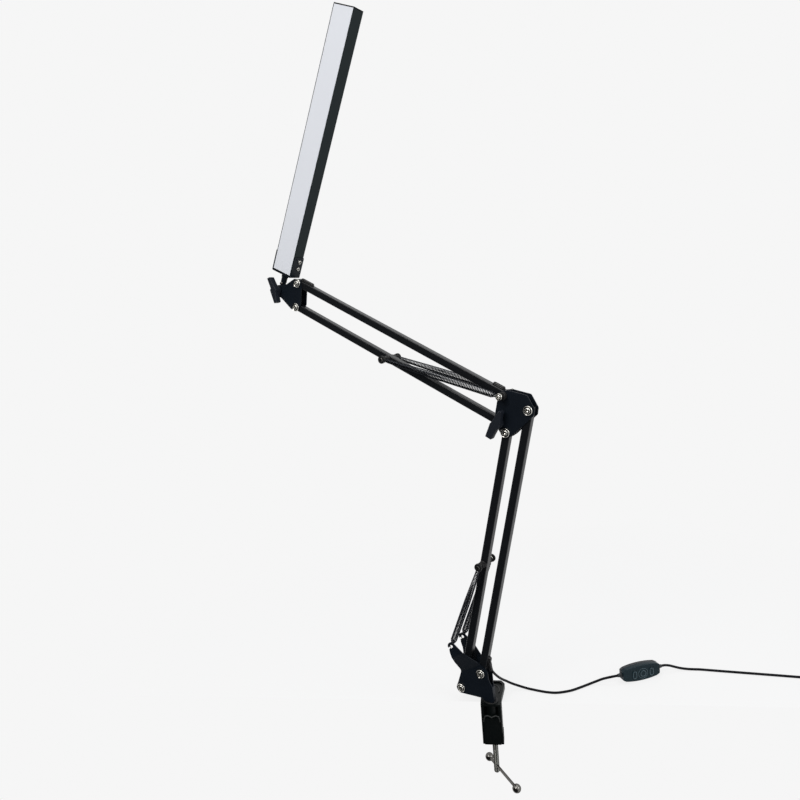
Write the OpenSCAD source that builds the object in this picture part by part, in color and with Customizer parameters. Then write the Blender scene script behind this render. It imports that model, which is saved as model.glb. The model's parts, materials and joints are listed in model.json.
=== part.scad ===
// Clamp lamp: a light bar on a sprung twin-link arm, held to a tabletop by a screw clamp.
// Millimetres. +Z up, +Y into the table. The origin is the centre of the seat under the upper jaw.

/* [Pose at rest] */
// Turn of the arm about the clamp's socket, seen from above, in degrees
rest_swivel = 25; // [0:1:40]
// Lean of the lower arm from the vertical, in degrees
lower_lean = 14.1; // [2:0.1:24]
// Rise of the upper arm above the level, in degrees
upper_rise = 27.4; // [5:0.1:50]
// Lean of the light bar from the vertical, in degrees
bar_lean = 25.8; // [15:0.1:27]

/* [Arms] */
// Lower arm, from pivot to pivot
lower_len = 380; // [300:5:450]
// Upper arm, from pivot to pivot
upper_len = 370; // [300:5:450]
// Outer width of the square arm tubes
tube_w = 10.4; // [9:0.1:11]
// Wall of the arm tubes
tube_wall = 1; // [0.8:0.1:1.4]
// Length of tube beyond each pivot
tube_over = 4.6; // [4.2:0.1:4.8]

/* [Links] */
// Step to the left between the two pivots of the lower arm
low_link_x = 32.5; // [30:0.5:36]
// Step down between the two pivots of the lower arm
low_link_z = 28.9; // [26:0.1:32]
// Step to the left between the two pivots of the upper arm
top_link_x = 7.3; // [5:0.1:10]
// Step down between the two pivots of the upper arm
top_link_z = 35.1; // [34:0.1:38]
// Step to the left from the lower arm's pivot to the upper arm's pivot
elbow_x = 32.6; // [31:0.1:36]
// Step up from the lower arm's pivot to the upper arm's pivot
elbow_z = 18.5; // [17:0.1:21]

/* [Plates and bolts] */
// Thickness of the side plates
plate_t = 1.5; // [1.2:0.1:2]
// Gap between a side plate and the tubes on each side
side_gap = 0.3; // [0.2:0.05:0.5]
// Shank of the pivot bolts
bolt_d = 6; // [5:0.5:6]
// Clearance around a bolt in a part that turns on it, on the radius
bolt_fit = 0.08; // [0.04:0.01:0.1]
// Diameter of the bolt heads
head_d = 12.4; // [10:0.2:13]
// Diameter of the head on the bolt that carries the upper springs
spring_head_d = 9; // [8:0.2:12]
// Height of the bolt heads
head_h = 3.6; // [2.5:0.1:4.5]
// Width of the hexagon nuts across their corners
nut_d = 11; // [10:0.5:12]
// Thickness of the nuts
nut_h = 4.5; // [3:0.5:5]
// Metal left around a pivot at the edge of a plate
plate_edge = 7.4; // [7:0.1:8]

/* [Springs] */
// Outer diameter of the tension springs
spring_d = 9; // [8:0.5:11]
// Wire of the tension springs
spring_wire = 1.6; // [1.2:0.1:2]
// Radius of a spring's curls next to its pin, as a share of the full one
spring_neck = 0.5; // [0.4:0.05:1]
// Distance of the springs from the middle plane of the arms
spring_y = 16; // [15:0.5:18]
// Curls of each lower spring
low_curls = 15; // [8:1:20]
// Curls of each upper spring
top_curls = 17; // [8:1:24]
// Place of the spring pin on each arm, as a share of its length from the base end
pin_share = 0.51; // [0.45:0.01:0.56]
// Cross pin that holds the springs on a tube
pin_d = 5; // [4:0.5:6]

/* [Head] */
// Step to the left from the upper arm's pivot to the tilt axis
nose_x = 40; // [38:0.5:46]
// Step down from the upper arm's pivot to the tilt axis
nose_z = 6.5; // [4:0.5:9]
// Radius of the head plates around the tilt axis
nose_r = 7.6; // [7:0.1:9]
// Height of the light bar's lower end above the tilt axis
post_len = 28.2; // [27:0.2:40]
// Diameter of the swivel post
post_d = 9; // [8:0.5:10]
// Reach of a wing knob from its axis
knob_reach = 20; // [16:0.5:21]

/* [Light bar] */
// Length of the light bar
bar_len = 371; // [250:1:450]
// Width of its lit face
bar_w = 36.7; // [30:0.1:37]
// Depth of the bar
bar_d = 20.6; // [18:0.1:24]
// Wall of the bar's extrusion
bar_wall = 1.6; // [1.2:0.1:2]
// Thickness of the diffuser
diffuser_t = 1.4; // [1:0.1:2]
// Thickness of the end caps
cap_t = 1.5; // [1:0.1:2.5]
// Height of the bracket's side flanges
flange_h = 30; // [26:1:45]
// Thickness of the bracket's flanges
flange_t = 1.2; // [1:0.1:1.6]
// Thickness of the bracket's bottom
bracket_t = 2; // [1.5:0.1:2.4]

/* [Clamp] */
// Width of the clamp's web
web_w = 28.4; // [26:0.2:32]
// Thickness of the web
web_t = 20; // [18:0.5:24]
// Width of the upper jaw at its widest
jaw_w = 37; // [32:0.5:44]
// Reach of the jaws from the web
jaw_reach = 44; // [38:1:60]
// Thickness of the upper jaw
jaw_t = 7; // [6:0.5:9]
// Opening between the jaws without the pad
jaw_gap = 39; // [36:1:60]
// Thickness of the lower jaw
low_jaw_t = 12; // [10:0.5:16]
// Distance from the web to the clamp screw
screw_off = 20; // [17:0.5:24]
// Diameter of the clamp screw
screw_d = 8; // [6:0.5:10]
// Length of the clamp screw below its pad
screw_len = 87; // [80:1:110]
// Diameter of the screw's pad
pad_d = 24; // [20:1:28]
// Height of the pad's top below the seat, as the clamp is set
pad_drop = 30; // [20:1:32]
// Tommy bar, from ball to ball
tommy_len = 76; // [60:1:90]
// Diameter of the tommy bar
tommy_d = 4; // [3:0.2:5]
// Shift of the tommy bar from its middle, as it is left
tommy_shift = 17; // [0:1:22]
// Turn of the tommy bar about the screw, as it is left
tommy_turn = -59; // [-90:1:90]

/* [Socket and stem] */
// Diameter of the stem that turns in the clamp
stem_d = 12; // [10:0.5:13]
// Depth of the stem in its socket
stem_depth = 34; // [26:1:40]
// Outer diameter of the nylon bush around the stem
bush_d = 16; // [15.5:0.5:18]
// Collar of the bush
collar_d = 20; // [18.5:0.5:22]
// Thickness of the collar
collar_t = 1.5; // [1:0.1:2.5]
// Step to the left from the stem to the lower arm's pivot
pivot_x = 9.5; // [8:0.5:12]
// Height of the lower arm's pivot above the jaw's top
pivot_z = 41; // [40:0.5:50]

/* [Cord] */
// Diameter of the cord
cord_d = 3.5; // [3:0.1:4]
// Length of the inline controller
ctl_len = 59; // [56:1:64]
// Width of the controller at its middle, which stands upright on its edge
ctl_w = 23; // [20:0.5:26]
// Thickness of the controller from its back to the face with the buttons
ctl_h = 12; // [11.4:0.2:14]
// Wall of the controller's shells
ctl_wall = 1.6; // [1.2:0.1:2]
// Travel of the controller's buttons
button_travel = 0.8; // [0.5:0.1:1]
// Radius of the middle of the coil's outer turn
coil_r = 28; // [26:0.5:34]
// Turns of the coil
coil_turns = 7.25; // [6.25:1:7.25]

/* [Hidden] */
$fn = 64;

// A short gap that lets one piece rest beside another without touching it
seat_gap = 0.15;
// A cut reaches this far past a face
cut = 1;

// Planes of the side plates, measured from the middle plane of the arms
plate_in = tube_w/2 + side_gap;
plate_out = plate_in + plate_t;

// Socket: the stem's axis stands behind the seat
stem_y = -screw_off - 8;
web_in = -screw_off;
web_out = web_in - web_t;
jaw_top = jaw_t;
web_low = -jaw_gap - low_jaw_t;
foot_z = jaw_top + collar_t + seat_gap;

// Pivots in the arm plane: x to the right of the stem, z above the seat
base_right = [-pivot_x, jaw_top + pivot_z];
low_link = [-low_link_x, -low_link_z];
top_link = [-top_link_x, -top_link_z];
low_dir = [sin(lower_lean), cos(lower_lean)];
top_dir = [-cos(upper_rise), sin(upper_rise)];
base_left = base_right + low_link;
elbow_right = base_right + lower_len*low_dir;
elbow_left = elbow_right + low_link;
elbow_top = elbow_right + [-elbow_x, elbow_z];
elbow_low = elbow_top + top_link;
head_top = elbow_top + upper_len*top_dir;
head_low = head_top + top_link;
nose = head_top + [-nose_x, -nose_z];
low_pin = base_left + pin_share*lower_len*low_dir;
top_pin = elbow_low + pin_share*upper_len*top_dir;

// Base plates: a flat part at the pivots, a slope, and a flared part with the hook
fold_turn = -30;
fold_start = 10.4;
fold_end = 36;
hook_flare = spring_y - plate_out + plate_t/2;
hook_r = 5.8;
hook_hole = 2.4;
hook_at = base_right + [-38.2, 35.3];

// Spring ends
spool_hub_r = 3.5;
spring_mid_r = (spring_d - spring_wire)/2;
groove_w = 4.4;
// The curls grow from the neck to their full size over this share of a spring
spring_taper = 0.55;

// Light bar, in its own frame: z along the bar from the tilt axis
bar_low = post_len;
bar_high = bar_low + bar_len;
post_head_d = 8;

// Cord: the near route runs from the arm to the controller, the far one on to the coil
cord_r = cord_d/2;
lead_d = 3;
ctl_at = [210.8, 46.5];
ctl_turn = 23.5;
relief_len = 6;
ctl_reach = ctl_len/2 + relief_len;
cord_near_route = [
    [3.6, -29.7, 53], [7, -26, 46], [11.4, -15.6, 35.2], [16, -4, 25], [21, 4.9, 17.4], [26.4, 9.8, 11.8],
    [32, 12, 8.2], [37.5, 13, 5.7], [44, 12.8, 3.7], [51, 11.4, 2.4], [60, 8.8, 1.9], [69, 5.9, 1.8], [78, 3.5, 1.8],
    [89, 2.4, 1.8], [100, 4.6, 1.8], [112, 9.2, 1.8], [123, 16, 1.8], [135, 23.6, 2.2], [147, 28.8, 4.2],
    [157, 30.4, 7.4], [166, 30.4, 9.9], [172, 30.8, 11.1],
    [ctl_at[0] - ctl_reach*cos(ctl_turn), ctl_at[1] - ctl_reach*sin(ctl_turn), ctl_w/2]];
cord_far_route = [
    [ctl_at[0] + ctl_reach*cos(ctl_turn), ctl_at[1] + ctl_reach*sin(ctl_turn), ctl_w/2],
    [249, 62.9, 11.2], [256, 65.3, 9.4], [264, 67.4, 6.2], [273, 68.9, 3.4], [283, 69.4, 2], [292, 69.2, 1.8],
    [300, 68.7, 1.8],
    [325, 65.1, 1.8], [350, 61.6, 1.8], [375, 58.1, 1.8], [400, 54.6, 1.8], [420, 51.7, 1.8], [437, 49.4, 1.8],
    [447, 48.3, 1.8], [455, 48, 1.8]];
coil_at = [455, 48 - coil_r];
coil_low = 1.8;
coil_step = cord_d + 0.5;
coil_layer_turns = (coil_turns - 0.5)/2;
tail_len = 18;
plug_len = 26;
plug_w = 15;
plug_h = 8;

// Vector helpers
function unit(v) = v/norm(v);
function in3d(p, y) = [p[0], y, p[1]];
function last_of(list) = list[len(list) - 1];

// A smooth curve through a route's own points
function curve_at(a, b, c, d, t) =
    0.5*(2*b + (c - a)*t + (2*a - 5*b + 4*c - d)*t*t + (3*b - a - 3*c + d)*t*t*t);
function smooth(route, steps) = concat(
    [for (i = [0:len(route) - 2], k = [0:steps - 1])
        curve_at(route[max(i - 1, 0)], route[i], route[i + 1], route[min(i + 2, len(route) - 1)], k/steps)],
    [last_of(route)]);

// Length of a path, and its least gap to itself beyond one turn's worth of points
function path_length(path) = norm_sum([for (i = [1:len(path) - 1]) norm(path[i] - path[i - 1])]);
function norm_sum(list) = [for (v = list) 1]*list;
function least_gap(path, skip, d) =
    min([for (i = [0:len(path) - 1 - skip], j = [i + skip:len(path) - 1]) norm(path[i] - path[j])]) - d;

// A tube swept along a path; refs gives the direction of its first corner at each point
module swept_tube(path, refs, r, sides) {
    rings = len(path);
    corners = [for (i = [0:rings - 1])
        let (
            t = unit(path[min(i + 1, rings - 1)] - path[max(i - 1, 0)]),
            a = unit(refs[i] - t*(refs[i]*t)),
            b = cross(t, a)
        )
        for (k = [0:sides - 1]) path[i] + r*(a*cos(360*k/sides) + b*sin(360*k/sides))];
    walls = [for (i = [0:rings - 2], k = [0:sides - 1])
        let (p = i*sides + k, q = i*sides + (k + 1)%sides)
        each [[p, p + sides, q + sides], [p, q + sides, q]]];
    top = (rings - 1)*sides;
    ends = [for (k = [1:sides - 2]) each [[0, k, k + 1], [top, top + k + 1, top + k]]];
    polyhedron(points = corners, faces = concat(walls, ends));
}

module cord_tube(route, steps) {
    path = smooth(route, steps);
    swept_tube(path, [for (p = path) [0, 0, 1]], cord_r, 8);
}

// Path of a wound spring from a to b: straight ends, then curls that open out from the axis
function spring_reach(share, curls) = spring_mid_r*min(1, share*curls/1.2, (1 - share)*curls/1.2,
    spring_neck + (1 - spring_neck)*(1 - share)/spring_taper);
function spring_path(a, b, curls) =
    let (
        axis = unit(b - a),
        side = unit(cross(axis, [0, 1, 0])),
        other = cross(axis, side),
        wound = norm(b - a) - 4*spring_wire,
        rings = curls*8
    )
    concat(
        [a, a + axis*spring_wire],
        [for (k = [0:rings])
            a + axis*(2*spring_wire + wound*k/rings)
            + spring_reach(k/rings, curls)*(side*cos(45*k) + other*sin(45*k))],
        [b - axis*spring_wire, b]);
function spring_refs(a, b, curls) =
    let (
        axis = unit(b - a),
        side = unit(cross(axis, [0, 1, 0])),
        other = cross(axis, side),
        rings = curls*8
    )
    concat([side, side], [for (k = [0:rings]) side*cos(45*k) + other*sin(45*k)], [side, side]);

module spring(ends, curls)
    swept_tube(spring_path(ends[0], ends[1], curls), spring_refs(ends[0], ends[1], curls), spring_wire/2, 6);

// Ends of the springs: the hook's edge and the pin's hub, with the wire butted on each
function butted(a, b, gap_a, gap_b) =
    let (axis = unit(b - a)) [a + axis*gap_a, b - axis*gap_b];
function low_spring_ends(side) = butted(
    in3d(hook_at, side*spring_y), in3d(low_pin, side*spring_y), hook_r + seat_gap, spool_hub_r + seat_gap);
function top_spring_ends(side) = butted(
    in3d(elbow_top, side*spring_y), in3d(top_pin, side*spring_y), bolt_d/2 + seat_gap, spool_hub_r + seat_gap);

// Path of the stored coil: in on the lower layer, a climb in half a turn, and out on the upper layer
coil_rings = 24;
function coil_radius(t) = coil_r - coil_step*min(t, coil_turns - t);
function coil_height(t) =
    coil_low + coil_step*min(1, max(0, (t - coil_layer_turns)/0.5));
function coil_point(t) = [
    coil_at[0] + coil_radius(t)*sin(360*t), coil_at[1] + coil_radius(t)*cos(360*t), coil_height(t)];
coil_end = coil_point(coil_turns);
plug_at = coil_end + [0, -tail_len, plug_h/2 - coil_end[2]];
coil_path = concat(
    [for (i = [0:round(coil_turns*coil_rings)]) coil_point(i/coil_rings)],
    [coil_end + [0, -tail_len/3, 0.15*(plug_at[2] - coil_end[2])],
        coil_end + [0, -2*tail_len/3, 0.85*(plug_at[2] - coil_end[2])],
        plug_at]);

echo(str("least gap, lower spring: ", least_gap(spring_path(
    low_spring_ends(-1)[0], low_spring_ends(-1)[1], low_curls), 6, spring_wire), " mm"));
echo(str("least gap, upper spring: ", least_gap(spring_path(
    top_spring_ends(-1)[0], top_spring_ends(-1)[1], top_curls), 6, spring_wire), " mm"));
echo(str("least gap, coil: ", least_gap(coil_path, 12, cord_d), " mm"));
echo(str("cord length: ", path_length(smooth(cord_near_route, 4)) + path_length(smooth(cord_far_route, 4))
    + path_length(coil_path) + ctl_len + 2*relief_len, " mm"));

// Frames: the arm plane turns about the stem, and the bar stands on its tilt axis
module arm_frame() translate([0, stem_y, 0]) rotate([0, 0, -rest_swivel]) children();
module at(p) translate([p[0], 0, p[1]]) children();
module bar_frame() arm_frame() at(nose) rotate([0, bar_lean, 0]) children();
module controller_frame() translate([ctl_at[0], ctl_at[1], ctl_w/2]) rotate([0, 0, ctl_turn]) rotate([90, 0, 0])
    translate([0, 0, -ctl_h/2]) children();

// A round bar along Y from y0 to y1
module bar_y(y0, y1, d, fn = 48) translate([0, y0, 0]) rotate([-90, 0, 0]) cylinder(h = y1 - y0, d = d, $fn = fn);
// A drawing in the arm plane, given depth from y0 to y1
module slab_y(y0, y1) translate([0, y1, 0]) rotate([90, 0, 0]) linear_extrude(y1 - y0) children();

// Bolt through both plates, with its head in front and its nut behind
module pivot_bolt() difference() {
    union() {
        bar_y(-plate_out - head_h, -plate_out, head_d);
        bar_y(-plate_out, plate_out + nut_h + 1, bolt_d);
        translate([0, plate_out, 0]) rotate([-90, 0, 0]) cylinder(h = nut_h, d = nut_d, $fn = 6);
    }
    bar_y(-plate_out - head_h - cut, -plate_out - head_h/2, head_d/2.4, 6);
}

// Carriage bolt that a wing knob turns on
module knob_bolt() {
    bar_y(-plate_out - 13, plate_out, bolt_d);
    bar_y(plate_out, plate_out + 2.5, head_d);
}

// Wing knob: a hub with two wings that stand off the plate; each wing widens to the hub on one side,
// and the two are the same shape turned half round
elbow_knob_angle = 61;
head_knob_angle = 104;
knob_flare = 6.4;
module wing_knob(turn, tip) {
    hub_d = bolt_d + 7;
    near = -plate_out - seat_gap - 1;
    far = near - 14;
    rotate([0, -turn, 0]) difference() {
        union() {
            bar_y(far + 3, near, hub_d);
            for (side = [0, 180]) rotate([0, side, 0]) hull() {
                translate([knob_reach - tip/2, 0, 0]) bar_y(far, near - 4, tip, 24);
                translate([1.5, 0, 1]) bar_y(far + 4, near - 3, 5, 24);
                translate([-1, 0, 2 - knob_flare]) bar_y(far + 4, near - 3, 4, 24);
            }
        }
        bar_y(far + 3 - cut, near + cut, bolt_d + 2*bolt_fit);
    }
}

// Square tube on two pivots, standing along z from the first
module arm_tube(length, pin_at, pin_hole) difference() {
    translate([-tube_w/2, -tube_w/2, -tube_over]) cube([tube_w, tube_w, length + 2*tube_over]);
    inner = tube_w - 2*tube_wall;
    translate([-inner/2, -inner/2, -tube_over - cut]) cube([inner, inner, length + 2*tube_over + 2*cut]);
    for (z = [0, length]) translate([0, 0, z]) bar_y(-tube_w, tube_w, bolt_d + 2*bolt_fit);
    if (pin_hole) translate([0, 0, pin_at]) bar_y(-tube_w, tube_w, pin_d + 2*bolt_fit);
}
module low_tube_frame(p) arm_frame() at(p) rotate([0, lower_lean, 0]) children();
module top_tube_frame(p) arm_frame() at(p) rotate([0, upper_rise - 90, 0]) children();

// Rubber cable grommet on the +X side of a tube, from z0 to z1
grommet_w = 7;
grommet_h = 3.4;
module grommet(z0, z1) translate([tube_w/2, 0, 0]) hull() for (z = [z0 + grommet_w/2, z1 - grommet_w/2])
    translate([0, 0, z]) rotate([0, 90, 0]) cylinder(h = grommet_h, d = grommet_w, $fn = 32);

// Spool that carries a spring's end, from the tube outwards on both sides
module spools() for (side = [-1, 1]) rotate([0, 0, side > 0 ? 0 : 180]) difference() {
    union() {
        bar_y(tube_w/2 + seat_gap, spring_y - groove_w/2, 10);
        bar_y(spring_y - groove_w/2, spring_y + groove_w/2, 2*spool_hub_r);
        bar_y(spring_y + groove_w/2, spring_y + groove_w/2 + 3, 11);
    }
    bar_y(tube_w/2, spring_y + groove_w/2 + 3 + cut, pin_d + 2*bolt_fit);
}
module spring_pin() bar_y(-spring_y - groove_w/2 - 3.6, spring_y + groove_w/2 + 3.6, pin_d);

// Clamp, with a socket for the stem in its web
module clamp_plan() {
    half = web_w/2;
    tip = web_in + jaw_reach;
    polygon([[-half, web_out], [half, web_out], [half, web_in], [jaw_w/2, tip - 8], [jaw_w/2 - 5.5, tip],
        [5.5 - jaw_w/2, tip], [-jaw_w/2, tip - 8], [-half, web_in]]);
}
module clamp_body() color("#15191b") difference() {
    boss_d = screw_d + 14;
    union() {
        linear_extrude(jaw_t) clamp_plan();
        translate([-web_w/2, web_out, web_low]) cube([web_w, web_t, -web_low]);
        translate([-boss_d/2, web_in, web_low]) cube([boss_d, screw_off, low_jaw_t]);
        translate([0, 0, web_low]) cylinder(h = low_jaw_t, d = boss_d);
    }
    // Recess that shows the socket's round wall, and shallow strips beside the raised panel
    difference() {
        translate([-web_w/2 + 4, web_out - cut, jaw_top - 16]) cube([web_w - 8, 6 + cut, 16 + cut]);
        translate([0, stem_y, jaw_top - 16 - cut]) cylinder(h = 18 + 2*cut, d = collar_d);
    }
    for (side = [-1, 1]) translate([side*(web_w/2 - 1.3) - 1.3 - cut/2, web_out - cut, web_low - cut])
        cube([2.6 + cut, 1 + cut, jaw_top - web_low - 20]);
    // Pocket in the jaw's top
    translate([0, 0, jaw_top - 2.2]) linear_extrude(2.2 + cut) intersection() {
        offset(delta = -3.5) clamp_plan();
        translate([-jaw_w, web_in + 4]) square([2*jaw_w, jaw_reach]);
    }
    translate([0, stem_y, jaw_top - stem_depth - 2]) cylinder(h = stem_depth + 2 + cut, d = bush_d);
    translate([0, 0, web_low - cut]) cylinder(h = low_jaw_t + 2*cut, d = screw_d + 2*bolt_fit);
}
module socket_bush() color("#0e0f10") translate([0, stem_y, 0]) difference() {
    union() {
        translate([0, 0, jaw_top - stem_depth - 2]) cylinder(h = stem_depth + 2, d = bush_d);
        translate([0, 0, jaw_top]) cylinder(h = collar_t, d = collar_d);
    }
    translate([0, 0, jaw_top - stem_depth]) cylinder(h = stem_depth + collar_t + cut, d = stem_d + 2*bolt_fit);
}

// Clamp screw under its pad, and the tommy bar through the screw's end
pad_t = 6;
screw_top = -pad_drop - 2.5;
screw_low = -pad_drop - pad_t + 3 - screw_len;
tommy_z = screw_low + 10;
module clamp_screw() color("#8d8f8c") difference() {
    union() {
        translate([0, 0, screw_low]) cylinder(h = -pad_drop - pad_t - seat_gap - screw_low, d = screw_d);
        translate([0, 0, -pad_drop - pad_t - 1]) cylinder(h = screw_top + pad_drop + pad_t + 1, d = screw_d - 2);
    }
    translate([0, 0, tommy_z]) rotate([0, 0, tommy_turn]) rotate([0, 90, 0])
        cylinder(h = 2*screw_d, d = tommy_d + 2*bolt_fit, center = true);
}
tommy_ball = 12;
module tommy_bar() color("#9a9a96") translate([0, 0, tommy_z]) rotate([0, 0, tommy_turn])
    translate([tommy_shift, 0, 0]) {
        rotate([0, 90, 0]) cylinder(h = tommy_len, d = tommy_d, center = true);
        for (side = [-1, 1]) translate([side*tommy_len/2, 0, 0]) rotate([0, 0, 90]) sphere(d = tommy_ball);
    }
module clamp_pad() color("#2a2c2d") difference() {
    union() {
        translate([0, 0, -pad_drop - 3]) cylinder(h = 3, d = pad_d);
        translate([0, 0, -pad_drop - pad_t]) cylinder(h = pad_t - 3, d = screw_d + 6);
    }
    translate([0, 0, -pad_drop - pad_t - cut]) cylinder(h = screw_top + pad_drop + pad_t + cut + seat_gap,
        d = screw_d - 2 + 2*bolt_fit);
}

// Swivel base: a stem with a block between two folded plates
foot_w = 18;
foot_block = 10;
foot_h = 20;
// The rear plate's right edge is this much nearer to the stem than the front one's
rear_trim = 5;
module base_stem() color("#191c1e") arm_frame() {
    translate([0, 0, jaw_top - stem_depth + 0.5]) cylinder(h = foot_z - jaw_top + stem_depth - 0.5, d = stem_d);
    translate([-foot_block/2, -plate_in, foot_z]) cube([foot_block, 2*plate_in, foot_h]);
}
module base_outline(trim) polygon([
    base_right + [10.5, 4.4], base_right + [11, -6.5], [7 - trim, base_right[1] - 16.6],
    [foot_w/2 - 0.8 - trim, foot_z + 6.6], [foot_w/2 - 1.6 - trim, foot_z], [-foot_w/2 + 2, foot_z],
    [-foot_w/2, foot_z + 3], base_left + [3, -plate_edge - 0.6], base_left + [-6, -2],
    base_left + [-6, 5], base_left + [2.4, 27.5], hook_at + [1.8, -24.7],
    hook_at + [-4.2, -7.5], hook_at + [-3.4, -3.4], hook_at + [0, 5.2], hook_at + [4, 3.6]]);
module base_blank(trim) {
    far = plate_out + hook_flare + cut;
    slab_y(plate_in - cut, far) base_outline(trim);
    at(base_left) bar_y(plate_in - cut, far, 2*plate_edge + 2);
    at(hook_at) bar_y(plate_in - cut, far, 2*hook_r);
}
sheet_reach = 2.5*fold_end;
module folded_sheet() {
    low = fold_start - sheet_reach;
    high = fold_end + sheet_reach;
    rotate([0, fold_turn, 0]) rotate([90, 0, 90]) translate([0, 0, -sheet_reach]) linear_extrude(2*sheet_reach) polygon([
        [plate_in, low], [plate_in, fold_start], [plate_in + hook_flare, fold_end], [plate_in + hook_flare, high],
        [plate_out + hook_flare, high], [plate_out + hook_flare, fold_end], [plate_out, fold_start],
        [plate_out, low]]);
}
module base_plate(trim = 0) difference() {
    intersection() {
        base_blank(trim);
        at(base_right) folded_sheet();
    }
    for (p = [base_right, base_left]) at(p) bar_y(0, 2*plate_out, bolt_d + 0.1);
    at(hook_at) bar_y(plate_out, plate_out + hook_flare + cut, 2*hook_hole);
    at(hook_at) rotate([0, 140, 0]) translate([0, plate_out, -1.1]) cube([hook_r + 3, hook_flare + cut, 2.2]);
}
module base_plate_front() color("#10161a") arm_frame() mirror([0, 1, 0]) base_plate();
module base_plate_rear() color("#10161a") arm_frame() base_plate(rear_trim);
module base_pivot_right() color("#b9bbb8") arm_frame() at(base_right) pivot_bolt();
module base_pivot_left() color("#b9bbb8") arm_frame() at(base_left) pivot_bolt();

// Lower arm
module lower_tube_right() color("#17191c") low_tube_frame(base_right) difference() {
    arm_tube(lower_len, 0, false);
    translate([0, 0, 17]) rotate([0, 90, 0]) cylinder(h = tube_w, d = cord_d, $fn = 24);
}
module lead(length) translate([tube_w/2 - tube_wall - lead_d/2 - seat_gap, 0, 22]) cylinder(h = length - 44, d = lead_d, $fn = 24);
module lower_lead() color("#101010") low_tube_frame(base_right) lead(lower_len);
cord_exit = base_right + [13.5, 5];
cord_exit_dir = unit([0.27, 0.45, -0.85]);
// The sleeve of the lower grommet stops this far from the cord
snout_gap = 0.35;
snout_at = 16;
module lower_grommet() color("#0d0d0e") {
    low_tube_frame(base_right) grommet(9, 27);
    hull() {
        low_tube_frame(base_right) translate([tube_w/2, 0, snout_at]) rotate([0, 90, 0])
            cylinder(h = 2, d = grommet_w - 0.4, $fn = 32);
        arm_frame() translate(in3d(cord_exit, 0) - snout_gap*cord_exit_dir)
            rotate([0, acos(cord_exit_dir[2]), atan2(cord_exit_dir[1], cord_exit_dir[0])])
                translate([0, 0, -1.6]) cylinder(h = 1.6, d = cord_d + 1.6, $fn = 32);
    }
}
module lower_tube_left() color("#17191c") low_tube_frame(base_left) arm_tube(lower_len, pin_share*lower_len, true);
module lower_spring_pin() color("#3a3c3d") arm_frame() at(low_pin) spring_pin();
module lower_spools() color("#111315") arm_frame() at(low_pin) spools();
module lower_spring_front() color("#55585a") arm_frame() spring(low_spring_ends(-1), low_curls);
module lower_spring_rear() color("#55585a") arm_frame() spring(low_spring_ends(1), low_curls);

// Elbow
elbow_notch = 18.9;
elbow_side = 14.1;
module elbow_outline() polygon([
    elbow_top + [-5.2, 5.9], elbow_top + [7.3, 6.7], elbow_right + [-0.3, elbow_notch],
    elbow_right + [8.4, 2], elbow_right + [6.9, -6.8], elbow_left + [10.3, -2.6],
    elbow_left + [3.3, -6.4], elbow_left + [-7.7, -3.2], elbow_low + [-5.3, elbow_side],
    elbow_top + [-8.7, -5.6]]);
module elbow_plate() difference() {
    union() {
        slab_y(plate_in, plate_out) elbow_outline();
        at(elbow_low) bar_y(plate_in, plate_out, 2*plate_edge - 0.8);
    }
    for (p = [elbow_right, elbow_left, elbow_top, elbow_low]) at(p) bar_y(0, 2*plate_out, bolt_d + 0.1);
}
module elbow_plate_front() color("#10161a") arm_frame() mirror([0, 1, 0]) elbow_plate();
module elbow_plate_rear() color("#10161a") arm_frame() elbow_plate();
module elbow_pivot_right() color("#b9bbb8") arm_frame() at(elbow_right) pivot_bolt();
module elbow_pivot_left() color("#b9bbb8") arm_frame() at(elbow_left) pivot_bolt();
spacer_end = spring_y - groove_w/2;
module spring_bolt() color("#b9bbb8") arm_frame() at(elbow_top) difference() {
    union() {
        bar_y(-spring_y - groove_w/2, spring_y + groove_w/2 + nut_h + 1, bolt_d);
        bar_y(-spring_y - groove_w/2 - head_h, -spring_y - groove_w/2, spring_head_d);
        translate([0, spring_y + groove_w/2, 0]) rotate([-90, 0, 0]) cylinder(h = nut_h, d = nut_d, $fn = 6);
    }
    bar_y(-spring_y - groove_w/2 - head_h - cut, -spring_y - groove_w/2 - head_h/2, spring_head_d/2.4, 6);
}
module spring_spacers() color("#0d0f10") arm_frame() at(elbow_top)
    for (side = [-1, 1]) rotate([0, 0, side > 0 ? 0 : 180]) difference() {
        bar_y(plate_out, spacer_end, 11);
        bar_y(plate_out - cut, spacer_end + cut, bolt_d + 0.1);
    }
module elbow_knob_bolt() color("#8f9190") arm_frame() at(elbow_low) knob_bolt();
module elbow_knob() color("#1b1e24") arm_frame() at(elbow_low) wing_knob(elbow_knob_angle, 6.4);

// Upper arm
module upper_tube_top() color("#17191c") top_tube_frame(elbow_top) difference() {
    arm_tube(upper_len, 0, false);
    for (z = [12, upper_len - 14]) translate([0, 0, z]) rotate([0, 90, 0]) cylinder(h = tube_w, d = cord_d, $fn = 24);
}
module upper_lead() color("#101010") top_tube_frame(elbow_top) lead(upper_len);
module upper_grommet_elbow() color("#0d0d0e") top_tube_frame(elbow_top) grommet(3, 22);
module upper_grommet_head() color("#0d0d0e") top_tube_frame(elbow_top) grommet(upper_len - 26, upper_len);
module upper_tube_low() color("#17191c") top_tube_frame(elbow_low) arm_tube(upper_len, pin_share*upper_len, true);
module upper_spring_pin() color("#3a3c3d") arm_frame() at(top_pin) spring_pin();
module upper_spools() color("#111315") arm_frame() at(top_pin) spools();
module upper_spring_front() color("#55585a") arm_frame() spring(top_spring_ends(-1), top_curls);
module upper_spring_rear() color("#55585a") arm_frame() spring(top_spring_ends(1), top_curls);

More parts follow.
